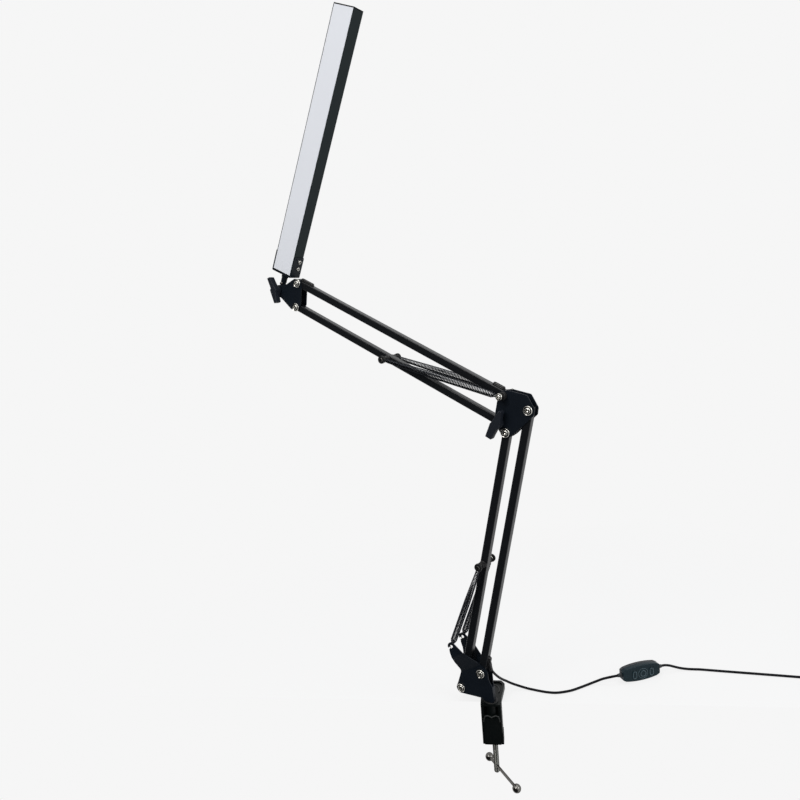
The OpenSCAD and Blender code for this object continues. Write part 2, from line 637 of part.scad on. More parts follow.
// Head
module head_outline() {
    e = plate_edge;
    polygon([
        head_top + [-0.75*e, e], head_top + [e, 0.7*e], head_top + [0.95*e, -0.85*e],
        head_low + [1.28*e, 0.38*e], head_low + [0.23*e, -0.88*e], head_low + [-1.47*e, -0.24*e],
        nose + nose_r*[-0.694, -0.72], nose + [0, nose_r], nose + [16, nose_r - 0.4]]);
}
module head_plate() difference() {
    union() {
        slab_y(plate_in, plate_out) head_outline();
        at(nose) bar_y(plate_in, plate_out, 2*nose_r);
    }
    for (p = [head_top, head_low, nose]) at(p) bar_y(0, 2*plate_out, bolt_d + 0.1);
}
module head_plate_front() color("#10161a") arm_frame() mirror([0, 1, 0]) head_plate();
module head_plate_rear() color("#10161a") arm_frame() head_plate();
module head_pivot_top() color("#b9bbb8") arm_frame() at(head_top) pivot_bolt();
module head_pivot_low() color("#b9bbb8") arm_frame() at(head_low) pivot_bolt();
module head_knob_bolt() color("#8f9190") arm_frame() at(nose) knob_bolt();
module head_knob() color("#1b1e24") arm_frame() at(nose) wing_knob(head_knob_angle, 4.8);

// Knuckle: a barrel on the tilt bolt with the post that the light bar swivels on
barrel_d = 2*nose_r - 1;
post_top = post_len - bracket_t - seat_gap;
module knuckle() color("#141619") bar_frame() difference() {
    union() {
        bar_y(-plate_in + 0.1, plate_in - 0.1, barrel_d);
        cylinder(h = post_top - 3, d = post_d);
        translate([0, 0, post_top - 6]) cylinder(h = 6, d = post_d + 1.4);
        cylinder(h = bar_low + cap_t + 4, d = 5);
        translate([0, 0, bar_low + cap_t + seat_gap]) cylinder(h = 3, d = post_head_d);
    }
    bar_y(-plate_out, plate_out, bolt_d + 2*bolt_fit);
}

// Light bar; the bracket's screws stand this far from its middle plane, and above the bar's end
bar_screw_y = 2.2;
bar_screw_z = [12.6, 23.2];
module bar_bracket() color("#0c0e10") bar_frame() difference() {
    union() {
        translate([-bar_w/2 - flange_t, -bar_d/2, bar_low - bracket_t]) cube([bar_w + 2*flange_t, bar_d, bracket_t]);
        for (side = [-1, 1]) translate([side > 0 ? bar_w/2 : -bar_w/2 - flange_t, -bar_d/2, bar_low])
            cube([flange_t, bar_d, flange_h]);
    }
    translate([0, 0, bar_low - bracket_t - cut]) cylinder(h = bracket_t + 2*cut, d = 5 + 2*bolt_fit);
    for (z = bar_screw_z) translate([-bar_w, bar_screw_y, bar_low + z]) rotate([0, 90, 0]) cylinder(h = 2*bar_w, d = 3.2, $fn = 32);
}
module bar_screws() color("#b9bbb8") bar_frame() for (side = [-1, 1], z = bar_screw_z)
    translate([side*bar_w/2, bar_screw_y, bar_low + z]) rotate([0, side*90, 0]) {
        translate([0, 0, flange_t]) cylinder(h = 1.6, d = 5.6, $fn = 32);
        translate([0, 0, -bar_wall]) cylinder(h = bar_wall + flange_t, d = 3, $fn = 32);
    }
module bar_housing() color("#1e2427") bar_frame() difference() {
    inner = bar_w - 2*bar_wall;
    shell_len = bar_len - 2*cap_t;
    translate([-bar_w/2, -bar_d/2 + diffuser_t, bar_low + cap_t]) cube([bar_w, bar_d - diffuser_t, shell_len]);
    translate([-inner/2, -bar_d/2 + diffuser_t - cut, bar_low]) cube([inner, bar_d - diffuser_t - bar_wall + cut, bar_len]);
    for (z = bar_screw_z) translate([-bar_w, bar_screw_y, bar_low + z]) rotate([0, 90, 0]) cylinder(h = 2*bar_w, d = 3.2, $fn = 32);
}
module diffuser() color("#dbdee4") bar_frame() translate([0, 0, bar_low + cap_t]) {
    rib_x = bar_w/2 - bar_wall - 1.2;
    translate([-bar_w/2 + 0.3, -bar_d/2, 0]) cube([bar_w - 0.6, diffuser_t, bar_len - 2*cap_t]);
    for (side = [-1, 1]) translate([side*rib_x - 0.6, -bar_d/2 + diffuser_t, 0]) cube([1.2, 3, bar_len - 2*cap_t]);
}
module led_board() color("#e8e8e0") bar_frame() translate([-13, bar_d/2 - bar_wall - 1.4, bar_low + cap_t + 12])
    cube([26, 1.4, bar_len - 2*cap_t - 20]);
module bar_end_caps() color("#0c0e10") bar_frame() difference() {
    for (z = [bar_low, bar_high - cap_t]) translate([-bar_w/2, -bar_d/2, z]) cube([bar_w, bar_d, cap_t]);
    translate([0, 0, bar_low - cut]) cylinder(h = cap_t + 2*cut, d = 5 + 2*bolt_fit);
}

// Cord, inline controller and plug
module cord_near() color("#0b0b0c") cord_tube(cord_near_route, 2);
module cord_far() color("#0b0b0c") cord_tube(cord_far_route, 2);
module cord_coil() color("#0b0b0c") swept_tube(coil_path, [for (p = coil_path) [0, 0, 1]], cord_r, 6);

ctl_split = 5.4;
ctl_end = 6.5;
ctl_shoulder = 9;
ctl_chamfer = 4.5;
// A block of the controller's outline from z0 to z1: bulging long sides and chamfered ends
module controller_block(z0, z1, inset = 0) {
    chord = ctl_len/2 - ctl_chamfer;
    bulge = ctl_w/2 - ctl_shoulder;
    bow = (chord*chord + bulge*bulge)/(2*bulge);
    far = ctl_len/2 - 2*ctl_chamfer;
    high = 2*ctl_shoulder - ctl_end;
    intersection() {
        translate([0, bow - ctl_w/2, z0]) cylinder(h = z1 - z0, r = bow - inset, $fn = 360);
        translate([0, ctl_w/2 - bow, z0]) cylinder(h = z1 - z0, r = bow - inset, $fn = 360);
        translate([0, 0, z0]) linear_extrude(z1 - z0) offset(delta = -inset) polygon([
            [ctl_len/2, -ctl_end], [ctl_len/2, ctl_end], [far, high], [-far, high],
            [-ctl_len/2, ctl_end], [-ctl_len/2, -ctl_end], [-far, -high], [far, -high]]);
    }
}
module controller_base() color("#15191c") controller_frame() difference() {
    union() {
        controller_block(0, ctl_split);
        for (side = [-1, 1]) translate([side*ctl_len/2, 0, ctl_h/2]) rotate([0, side*90, 0])
            cylinder(h = relief_len, d1 = 6.4, d2 = cord_d + 1, $fn = 48);
    }
    difference() {
        controller_block(ctl_wall, ctl_split + cut, ctl_wall);
        for (sx = [-1, 1]) translate([sx*(ctl_len/2 - 12), 0, 0]) cylinder(h = board_z - seat_gap, d = 5);
    }
}
board_z = 4;
module controller_board() color("#2c5a3c") controller_frame()
    translate([10 - ctl_len/2, 4 - ctl_w/2, board_z]) cube([ctl_len - 20, ctl_w - 8, 1.2]);

// Round middle button and a long one on each side of it
button_mid = 1.75;
button_step = 13.5;
button_drop = -1;
button_round = 11;
button_wide = 8;
button_long = 14;
module button_shape(i, z0, z1, grow) {
    if (i == 0) translate([button_mid, button_drop, z0]) cylinder(h = z1 - z0, d = button_round + 2*grow);
    else translate([button_mid + i*button_step, button_drop, z0]) {
        half = (button_long - button_wide)/2;
        for (y = [-half, half]) translate([0, y, 0]) cylinder(h = z1 - z0, d = button_wide + 2*grow);
        translate([-button_wide/2 - grow, -half, 0]) cube([button_wide + 2*grow, 2*half, z1 - z0]);
    }
}
module controller_top() color("#22292c") controller_frame() difference() {
    controller_block(ctl_split, ctl_h);
    controller_block(ctl_split - cut, ctl_h - ctl_wall, ctl_wall);
    for (i = [-1, 0, 1]) button_shape(i, ctl_h - ctl_wall - cut, ctl_h + cut, 0.2);
    for (side = [-1, 1]) translate([side*ctl_len/2, 0, ctl_h/2]) rotate([0, 90, 0]) cylinder(h = 2*relief_len, d = 6.8, center = true);
}
module button(i) color("#2c3336") controller_frame() {
    button_shape(i, ctl_h - ctl_wall - 2, ctl_h + button_travel, 0);
    button_shape(i, ctl_h - ctl_wall - 2, ctl_h - ctl_wall - seat_gap, 0.8);
}
module button_less() button(-1);
module button_power() button(0);
module button_more() button(1);

module plug_frame() translate(plug_at) rotate([0, 0, -90]) children();
module usb_plug() color("#111213") plug_frame() {
    translate([relief_len, -plug_w/2, -plug_h/2]) cube([plug_len - relief_len, plug_w, plug_h]);
    rotate([0, 90, 0]) cylinder(h = relief_len, d1 = cord_d + 1, d2 = 7, $fn = 48);
}
module usb_shell() color("#b4b6b8") plug_frame() translate([plug_len, 0, 0]) difference() {
    translate([0, -6, -2.25]) cube([12, 12, 4.5]);
    translate([1, -5.6, -1.85]) cube([12, 11.2, 3.7]);
}

clamp_body();
socket_bush();
clamp_screw();
tommy_bar();
clamp_pad();
base_stem();
base_plate_front();
base_plate_rear();
base_pivot_right();
base_pivot_left();
lower_tube_right();
lower_lead();
lower_grommet();
lower_tube_left();
lower_spring_pin();
lower_spools();
lower_spring_front();
lower_spring_rear();
elbow_plate_front();
elbow_plate_rear();
elbow_pivot_right();
elbow_pivot_left();
spring_bolt();
spring_spacers();
elbow_knob_bolt();
elbow_knob();
upper_tube_top();
upper_lead();
upper_grommet_elbow();
upper_grommet_head();
upper_tube_low();
upper_spring_pin();
upper_spools();
upper_spring_front();
upper_spring_rear();
head_plate_front();
head_plate_rear();
head_pivot_top();
head_pivot_low();
head_knob_bolt();
head_knob();
knuckle();
bar_bracket();
bar_screws();
bar_housing();
diffuser();
led_board();
bar_end_caps();
cord_near();
controller_base();
controller_board();
controller_top();
button_power();
button_less();
button_more();
cord_far();
cord_coil();
usb_plug();
usb_shell();
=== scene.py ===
import bpy
import bmesh
import json
import math
from mathutils import Matrix, Vector


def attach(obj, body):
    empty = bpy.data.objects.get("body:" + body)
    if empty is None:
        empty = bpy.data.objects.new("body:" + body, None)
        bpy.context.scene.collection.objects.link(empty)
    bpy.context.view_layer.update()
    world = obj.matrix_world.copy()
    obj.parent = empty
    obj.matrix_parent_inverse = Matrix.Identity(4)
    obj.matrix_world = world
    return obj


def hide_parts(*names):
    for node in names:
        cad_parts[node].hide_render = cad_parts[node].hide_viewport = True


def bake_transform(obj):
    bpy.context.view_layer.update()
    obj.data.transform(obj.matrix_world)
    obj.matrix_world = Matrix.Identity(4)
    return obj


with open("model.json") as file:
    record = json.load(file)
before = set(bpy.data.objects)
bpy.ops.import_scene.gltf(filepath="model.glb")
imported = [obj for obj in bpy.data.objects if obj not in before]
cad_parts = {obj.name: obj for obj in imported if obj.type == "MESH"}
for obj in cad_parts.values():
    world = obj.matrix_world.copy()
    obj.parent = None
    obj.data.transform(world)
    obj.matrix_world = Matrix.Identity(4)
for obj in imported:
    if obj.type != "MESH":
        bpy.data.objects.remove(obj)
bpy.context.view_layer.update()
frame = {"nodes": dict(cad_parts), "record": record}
print("lamp: frame loaded")

# millimetres below, metres in the scene
mm = 0.001
here = Matrix.Identity(4)


def turned(axis, degrees):
    return Matrix.Rotation(math.radians(degrees), 4, axis)


def moved(x, y, z):
    return Matrix.Translation((x, y, z))


def onCircle(radius, degrees):
    a = math.radians(degrees)
    return radius * math.cos(a), radius * math.sin(a)


def newObject(name, data):
    thing = bpy.data.objects.new(name, data)
    bpy.context.scene.collection.objects.link(thing)
    return thing


# camera, solved from the photograph
cameraView = dict(place=(59.2, -905.1, 544.4), azimuth=9.89, elevation=7.081, roll=-4.608, lens=30.3, sensor=36)


def addCamera(view):
    lens = bpy.data.cameras.new("camera")
    lens.sensor_width = view["sensor"]
    lens.lens = view["lens"]
    lens.clip_start = 0.05
    camera = newObject("camera", lens)
    camera.matrix_world = (Matrix.Translation(Vector(view["place"]) * mm) @ turned("Z", view["azimuth"])
                           @ turned("X", 90 - view["elevation"]) @ turned("Z", view["roll"]))
    bpy.context.scene.camera = camera


addCamera(cameraView)

# pivots in the arm plane: x to the right of the stem, z above the seat
arms = dict(swivel=25, axis=-28, lean=14.1, rise=27.4, barLean=25.8, lower=380, upper=370, tube=10.4, wall=1,
            over=4.6, springAt=0.51)
armFrame = moved(0, arms["axis"], 0) @ turned("Z", -arms["swivel"])
leanWay = Vector(onCircle(1, 90 - arms["lean"]))
riseWay = Vector(onCircle(1, 180 - arms["rise"]))
lowerLink, upperLink = Vector((-32.5, -28.9)), Vector((-7.3, -35.1))
baseRight = Vector((-9.5, 48))
baseLeft = baseRight + lowerLink
elbowRight = baseRight + arms["lower"] * leanWay
elbowLeft = elbowRight + lowerLink
elbowTop = elbowRight + Vector((-32.6, 18.5))
elbowLow = elbowTop + upperLink
headTop = elbowTop + arms["upper"] * riseWay
headLow = headTop + upperLink
nose = headTop + Vector((-40, -6.5))
hookAt = baseRight + Vector((-38.2, 35.3))
lowPin = baseLeft + arms["springAt"] * arms["lower"] * leanWay
topPin = elbowLow + arms["springAt"] * arms["upper"] * riseWay
plateIn, plateOut = 5.5, 7
springY = 16


def inArm(p):
    return armFrame @ moved(p[0], 0, p[1])


def alongLower(p):
    return inArm(p) @ turned("Y", arms["lean"])


def alongUpper(p):
    return inArm(p) @ turned("Y", arms["rise"] - 90)


barFrame = inArm(nose) @ turned("Y", arms["barLean"])
facingFront = turned("X", 90)
facingRear = turned("X", -90)


# shader maths: one wire wraps a socket, and expressions on wires add nodes
class Wire:
    def __init__(self, graph, socket):
        self.graph = graph
        self.socket = socket

    def maths(self, operation, other):
        return self.graph.add("ShaderNodeMath", dict(operation=operation), (self, other))

    def __add__(self, other):
        return self.maths("ADD", other)

    __radd__ = __add__

    def __sub__(self, other):
        return self.maths("SUBTRACT", other)

    def __mul__(self, other):
        return self.maths("MULTIPLY", other)

    def clamped(self):
        return self.maths("MAXIMUM", 0).maths("MINIMUM", 1)

    def above(self, edge, blur):
        return ((self - edge) * (1 / blur)).clamped()


class Graph:
    def __init__(self, tree):
        self.tree = tree

    def put(self, socket, value):
        if isinstance(value, Wire):
            self.tree.links.new(value.socket, socket)
        else:
            socket.default_value = value

    def add(self, kind, settings, inputs, output=0):
        node = self.tree.nodes.new(kind)
        for key, value in settings.items():
            setattr(node, key, value)
        for key, value in (inputs.items() if isinstance(inputs, dict) else enumerate(inputs)):
            self.put(node.inputs[key], value)
        return Wire(self, node.outputs[output]) if node.outputs else None

    def ray(self, kind):
        return self.add("ShaderNodeLightPath", {}, [], "Is %s Ray" % kind)

    def seenPlainly(self):
        # 1 where the camera, a reflection or clear stuff looks, 0 where the surface only gives light
        return (self.ray("Camera") + self.ray("Glossy") + self.ray("Transmission")).clamped()

    def dot(self, first, way):
        return self.add("ShaderNodeVectorMath", dict(operation="DOT_PRODUCT"), (first, way), 1)

    def blend(self, share, low, high):
        return self.add("ShaderNodeMix", dict(data_type="RGBA"), {0: share, 6: (*low, 1), 7: (*high, 1)}, 2)


class Finish(Graph):
    def __init__(self, name, **fixed):
        self.material = bpy.data.materials.new(name)
        self.material.use_nodes = True
        super().__init__(self.material.node_tree)
        self.shader = self.tree.nodes["Principled BSDF"]
        for words, value in fixed.items():
            self.feed(words.replace("_", " "), value)

    def feed(self, name, value):
        self.put(self.shader.inputs[name], value)

    def place(self):
        return self.add("ShaderNodeTexCoord", {}, [], 3)

    def noise(self, scale, detail=2, stretch=None):
        where = self.place()
        if stretch is not None:
            where = self.add("ShaderNodeMapping", {}, dict(Vector=where, Scale=stretch))
        return self.add("ShaderNodeTexNoise", {}, dict(Vector=where, Scale=scale, Detail=detail))

    def dress(self, colour, roughness, height, depth):
        self.feed("Base Color", colour)
        self.feed("Roughness", roughness)
        self.feed("Normal", self.add("ShaderNodeBump", {}, dict(Height=height, Distance=depth)))
        return self.material


# powder coat, moulded plastic and paint: fine grain, a little cloudiness and dull patches
def coated(name, colour, roughness, gloss, grain, depth):
    f = Finish(name, Specular_IOR_Level=gloss)
    fine, soft = f.noise(grain, 3), f.noise(60, 3)
    worn = f.noise(240, 4).above(0.55, 0.2)
    paler = tuple(min(1, c * 1.35 + 0.0015) for c in colour)
    return f.dress(f.blend(soft, colour, paler), roughness + (fine - 0.5) * 0.12 + worn * 0.08, fine, depth)


# plated and plain metal: hairline marks over a faint cloud
def plated(name, colour, roughness, marks=1400):
    f = Finish(name, Metallic=1, Specular_Tint=(0.3, 0.3, 0.3, 1))
    lines, patch = f.noise(marks, 2, (1, 1, 0.12)), f.noise(180, 4)
    dull = tuple(c * 0.85 for c in colour)
    return f.dress(f.blend(patch.above(0.5, 0.25), colour, dull),
                   roughness + (patch - 0.5) * 0.16 + (lines - 0.5) * 0.1, lines, 0.00001)


# drawn aluminium with a black anodised skin: fine lines along the bar
def anodised(name, colour, across):
    f = Finish(name, Specular_IOR_Level=0.12)
    lines = f.add("ShaderNodeTexNoise", dict(noise_dimensions="1D"),
                  dict(W=f.dot(f.place(), across), Scale=5200, Detail=3))
    tone = f.noise(40, 3) * 0.6 + lines * 0.4
    return f.dress(f.blend(tone, colour, tuple(c * 1.5 for c in colour)), 0.42 + (lines - 0.5) * 0.2, lines, 0.000012)


# opal sheet: milky, with a faint cloud
def opal(name, colour):
    f = Finish(name, Specular_IOR_Level=0.35)
    fine = f.noise(1800)
    return f.dress(f.blend(f.noise(14), tuple(c * 0.97 for c in colour), colour), 0.38 + (fine - 0.5) * 0.1,
                   fine, 0.000008)


# cord jacket and rubber: dull, a little greasy, with mould marks
def jacket(name, colour, roughness, gloss):
    f = Finish(name, Specular_IOR_Level=gloss)
    fine, patch = f.noise(3200, 3), f.noise(90, 3)
    return f.dress(f.blend(patch, colour, tuple(c * 1.5 + 0.001 for c in colour)),
                   roughness + (patch - 0.5) * 0.14 + (fine - 0.5) * 0.1, fine, 0.00002)


paint = dict(
    clamp=coated("clampCoat", (0.0008, 0.0018, 0.0018), 0.42, 0.14, 1500, 0.00005),
    # lighter, glossier copy of the clamp coat for the ribs: painted highlight where the ribs catch light from above
    edge=coated("clampRibPaintedHighlight", (0.009, 0.0105, 0.01), 0.4, 0.35, 1500, 0.00005),
    plate=coated("plateCoat", (0.0028, 0.005, 0.0086), 0.42, 0.14, 2200, 0.00003),
    tube=coated("tubePaint", (0.0045, 0.0052, 0.0064), 0.3, 0.26, 3000, 0.00001),
    bar=anodised("barSkin", (0.0058, 0.0102, 0.0112), tuple(barFrame.to_3x3() @ Vector((1, 0, 0)))),
    cap=coated("capPlastic", (0.0022, 0.0026, 0.0034), 0.5, 0.08, 1800, 0.00003),
    knob=coated("knobPlastic", (0.0075, 0.0094, 0.0138), 0.44, 0.2, 1300, 0.00004),
    nylon=coated("nylon", (0.006, 0.0062, 0.0066), 0.5, 0.25, 1900, 0.00002),
    rubber=jacket("grommetRubber", (0.0036, 0.0036, 0.004), 0.36, 0.4),
    cord=jacket("cordJacket", (0.0022, 0.0022, 0.0034), 0.45, 0.08),
    nickel=plated("nickelPlate", (0.62, 0.61, 0.57), 0.2),
    darkNickel=plated("darkNickel", (0.16, 0.155, 0.145), 0.24),
    screw=plated("screwZinc", (0.085, 0.086, 0.08), 0.3, 900),
    spring=plated("springSteel", (0.035, 0.037, 0.042), 0.2, 2200),
    pad=plated("padSteel", (0.1, 0.1, 0.1), 0.45, 700),
    opal=opal("opalSheet", (0.655, 0.67, 0.71)),
    shell=coated("shellGloss", (0.0042, 0.0118, 0.016), 0.25, 0.12, 900, 0.00001),
    under=coated("shellMatte", (0.012, 0.014, 0.016), 0.45, 0.3, 1400, 0.00003),
    button=coated("buttonPlastic", (0.0042, 0.0118, 0.016), 0.3, 0.12, 1600, 0.00002),
    rim=coated("keyRim", (0.05, 0.076, 0.088), 0.4, 0.2, 1600, 0.00002),
    board=coated("whiteBoard", (0.74, 0.74, 0.7), 0.4, 0.4, 600, 0.00002),
    green=coated("greenBoard", (0.02, 0.12, 0.06), 0.35, 0.4, 800, 0.00002),
)
# the finish of each material slot, and the slots of the finishes that only this script has
slotPaint = dict(
    clamp_black="clamp", plate_black="plate", tube_black="tube", bar_black="bar", nickel="nickel",
    dark_nickel="darkNickel", spring_steel="spring", screw_steel="screw", pad_steel="pad", nylon="nylon",
    knob_plastic="knob", rubber_black="rubber", cord_black="cord", diffuser_white="opal",
    board_white="board", board_green="green", shell_dark="shell", shell_matte="under", button_grey="button")
paintSlot = {coat: slot for slot, coat in slotPaint.items()}
paintSlot.update(edge="clamp_black", cap="nylon", rim="button_grey")
print("lamp: finishes made")


# shapes, in millimetres
def loft(rings, loop=False):
    bm = bmesh.new()
    rows = [[bm.verts.new(p) for p in ring] for ring in rings]
    n = len(rows[0])
    for a, b in zip(rows, rows[1:] + ([rows[0]] if loop else [])):
        for i in range(n):
            bm.faces.new((a[i], a[(i + 1) % n], b[(i + 1) % n], b[i]))
    if not loop:
        bm.faces.new(rows[0][::-1])
        bm.faces.new(rows[-1])
    bmesh.ops.recalc_face_normals(bm, faces=bm.faces[:])
    return bm


def flat(outline, height):
    return [(x, y, height) for x, y in outline]


def ringAt(radius, height, sides=24):
    return [(*onCircle(radius, 360 * i / sides), height) for i in range(sides)]


def hexAt(width, height, sides=24):
    # a hexagon across its flats, with the same number of points as the round rings beside it
    angles = [360 * i / sides for i in range(sides)]
    return [(*onCircle(width / 2 / math.cos(math.radians((a + 30) % 60 - 30)), a), height) for a in angles]


def turnedShape(profile, sides=24, loop=False):
    return loft([ringAt(max(r, 0.02), h, sides) for r, h in profile], loop)


def scaled(radius, high, *profile):
    return [(radius * across, high * up) for across, up in profile]


def slab(outline, near, far):
    return loft([[(x, y, z) for x, z in outline] for y in (near, far)])


def upright(outline, low, high):
    return loft([flat(outline, low), flat(outline, high)])


def rounded(points, radii, steps=5):
    # fillets every corner of an outline
    points = [Vector(p) for p in points]
    if not isinstance(radii, list):
        radii = [radii] * len(points)
    result = []
    for i, (p, r) in enumerate(zip(points, radii)):
        if r <= 0:
            result.append(tuple(p))
            continue
        a, b = points[i - 1] - p, points[(i + 1) % len(points)] - p
        reach = min(r / math.tan(a.angle(b) / 2), a.length * 0.48, b.length * 0.48)
        start, end = p + a.normalized() * reach, p + b.normalized() * reach
        for k in range(steps + 1):
            t = k / steps
            result.append(tuple(start * (1 - t) ** 2 + p * 2 * t * (1 - t) + end * t * t))
    return result


def boxOutline(width, depth, radius, steps=5):
    w, d = width / 2, depth / 2
    return rounded([(-w, -d), (w, -d), (w, d), (-w, d)], radius, steps)


def stadium(long, wide, steps=10):
    ring = []
    for start, shift in ((0, (long - wide) / 2), (180, (wide - long) / 2)):
        for k in range(steps + 1):
            x, y = onCircle(wide / 2, start + 180 * k / steps)
            ring.append((x, y + shift))
    return ring


def sweep(path, radius, sides, first=(0, 0, 1)):
    # a tube whose rings are carried along the path without twist
    path = [Vector(p) for p in path]
    radii = radius if isinstance(radius, list) else [radius] * len(path)
    up = Vector(first)
    rings = []
    for i, p in enumerate(path):
        way = (path[min(i + 1, len(path) - 1)] - path[max(i - 1, 0)]).normalized()
        up = (up - way * up.dot(way)).normalized()
        other = way.cross(up)
        rings.append([p + up * x + other * y for x, y, z in ringAt(radii[i], 0, sides)])
    return loft(rings)


def placed(parts):
    # shapes with their places; one without stays where it is
    return [part if isinstance(part, tuple) else (part, here) for part in parts]


def joined(*parts):
    whole = bmesh.new()
    for bm, place in placed(parts):
        scrap = bpy.data.meshes.new("scrap")
        bm.to_mesh(scrap)
        bm.free()
        scrap.transform(place)
        whole.from_mesh(scrap)
        bpy.data.meshes.remove(scrap)
    return whole


def onBothSides(profile, sides, out=0):
    return joined(*((turnedShape(profile, sides), facing @ moved(0, 0, out)) for facing in (facingFront, facingRear)))


def meshObject(name, bm, place):
    mesh = bpy.data.meshes.new(name)
    bm.to_mesh(mesh)
    bm.free()
    mesh.transform(Matrix.Scale(mm, 4) @ place)
    return newObject(name, mesh)


def cutters(operation, *parts):
    tools = []
    for bm, place in placed(parts):
        tool = meshObject("cutter", bm, place)
        tool.hide_render = True
        tools.append((tool, operation))
    return tools


def evaluated(piece):
    bpy.context.view_layer.update()
    mesh = bpy.data.meshes.new_from_object(piece.evaluated_get(bpy.context.evaluated_depsgraph_get()))
    old = piece.data
    piece.modifiers.clear()
    piece.data = mesh
    bpy.data.meshes.remove(old)


def makePiece(name, bm, place, body, coat, nodes=(), bevel=0, steps=2, angle=30, smooth=50, carve=()):
    piece = meshObject(name, bm, place)
    for tool, operation in carve:
        cut = piece.modifiers.new("cut", "BOOLEAN")
        cut.solver = "EXACT"
        cut.operation = operation
        cut.object = tool
    if bevel:
        edges = piece.modifiers.new("edges", "BEVEL")
        edges.width = bevel * mm
        edges.segments = steps
        edges.limit_method = "ANGLE"
        edges.angle_limit = math.radians(angle)
    if piece.modifiers:
        evaluated(piece)
    for tool, operation in carve:
        bpy.data.objects.remove(tool)
    piece.data.shade_smooth()
    piece.data.set_sharp_from_angle(angle=math.radians(smooth))
    even = piece.modifiers.new("even", "WEIGHTED_NORMAL")
    even.keep_sharp = True
    evaluated(piece)
    piece.data.materials.clear()
    piece.data.materials.append(paint[coat])
    if nodes:
        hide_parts(*nodes)
    if body:
        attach(piece, body)
    return piece


# inline controller: two shells with a seam, standing on its long edge with three keys in front
controller = dict(at=(210.8, 46.5), turn=23.5, long=59, wide=23, high=12, split=5.4, end=6.5, shoulder=9, chamfer=4.5,
                  sleeve=6, drop=-1, ring=14,
                  keys=dict(less=(-11.75, 8, 14), power=(1.75, 11, 11), more=(15.25, 8, 14)))
controllerFrame = (moved(*controller["at"], controller["wide"] / 2) @ turned("Z", controller["turn"]) @ facingFront
                   @ moved(0, 0, -controller["high"] / 2))
plugLook = dict(long=26, wide=15, high=8, corner=2.2)


def controllerEnd(side, c=controller):
    return tuple(controllerFrame @ Vector((side * (c["long"] / 2 + c["sleeve"]), 0, c["high"] / 2)))


# cord: the routes of the solids, smoothed the same way
cordSizes = dict(diameter=3.5, step=4, coilRadius=28, turns=7.25, rise=0.5, coilAt=(455, 20), low=1.8, tail=18)
nearRoute = [
    (3.6, -29.7, 53), (7, -26, 46), (11.4, -15.6, 35.2), (16, -4, 25), (21, 4.9, 17.4), (26.4, 9.8, 11.8),
    (32, 12, 8.2), (37.5, 13, 5.7), (44, 12.8, 3.7), (51, 11.4, 2.4), (60, 8.8, 1.9), (69, 5.9, 1.8),
    (78, 3.5, 1.8), (89, 2.4, 1.8), (100, 4.6, 1.8), (112, 9.2, 1.8), (123, 16, 1.8), (135, 23.6, 2.2),
    (147, 28.8, 4.2), (157, 30.4, 7.4), (166, 30.4, 9.9), (172, 30.8, 11.1), controllerEnd(-1)]
farRoute = [
    controllerEnd(1), (249, 62.9, 11.2), (256, 65.3, 9.4), (264, 67.4, 6.2), (273, 68.9, 3.4), (283, 69.4, 2),
    (292, 69.2, 1.8), (300, 68.7, 1.8), (325, 65.1, 1.8), (350, 61.6, 1.8), (375, 58.1, 1.8), (400, 54.6, 1.8),
    (420, 51.7, 1.8), (437, 49.4, 1.8), (447, 48.3, 1.8), (455, 48, 1.8)]


def smoothRoute(route, steps=6):
    points = [Vector(p) for p in route]
    result = []
    for i in range(len(points) - 1):
        a, b, c = points[max(i - 1, 0)], points[i], points[i + 1]
        d = points[min(i + 2, len(points) - 1)]
        for k in range(steps):
            t = k / steps
            result.append(0.5 * (2 * b + (c - a) * t + (2 * a - 5 * b + 4 * c - d) * t * t
                                 + (3 * b - a - 3 * c + d) * t ** 3))
    return result + [points[-1]]


def coilPath(s=cordSizes, perTurn=40):
    # inwards and up half way through, outwards on top, and then straight to the plug
    path = []
    for i in range(1, round(s["turns"] * perTurn) + 1):
        t = i / perTurn
        rise = min(1, max(0, (t - (s["turns"] - s["rise"]) / 2) / s["rise"]))
        y, x = onCircle(s["coilRadius"] - s["step"] * min(t, s["turns"] - t), 360 * t)
        path.append(Vector((s["coilAt"][0] + x, s["coilAt"][1] + y, s["low"] + s["step"] * rise)))
    end = path[-1]
    for share, rise in ((1 / 3, 0.15), (2 / 3, 0.85), (1, 1)):
        path.append(end + Vector((0, -s["tail"] * share, rise * (plugLook["high"] / 2 - end.z))))
    return path


def makeCord(withPieces):
    path = smoothRoute(nearRoute) + smoothRoute(farRoute) + coilPath()
    piece = makePiece("cord", sweep(path, cordSizes["diameter"] / 2, 12), here, "base", "cord",
                      ["cord_near", "cord_far", "cord_coil"])
    path[0] * mm
    sum((b - a).length for a, b in zip(path, path[1:])) * mm
    [p * mm for p in path]


# stage: a pale tabletop whose edge is where the clamp sits, and a white surround
stageLook = dict(white=0.921, near=0.9113, plain=0.88, shadeAt=(0.1, 0.05, 0), shadeReach=0.3, shadeFade=0.45,
                 fill=0.55, room=0.02, frontWay=(-0.55, -0.8, -0.25), frontFrom=0.35, frontFade=0.3)
tableEdges = dict(left=-3, right=3, front=-0.0196, rear=4, low=-0.0003)


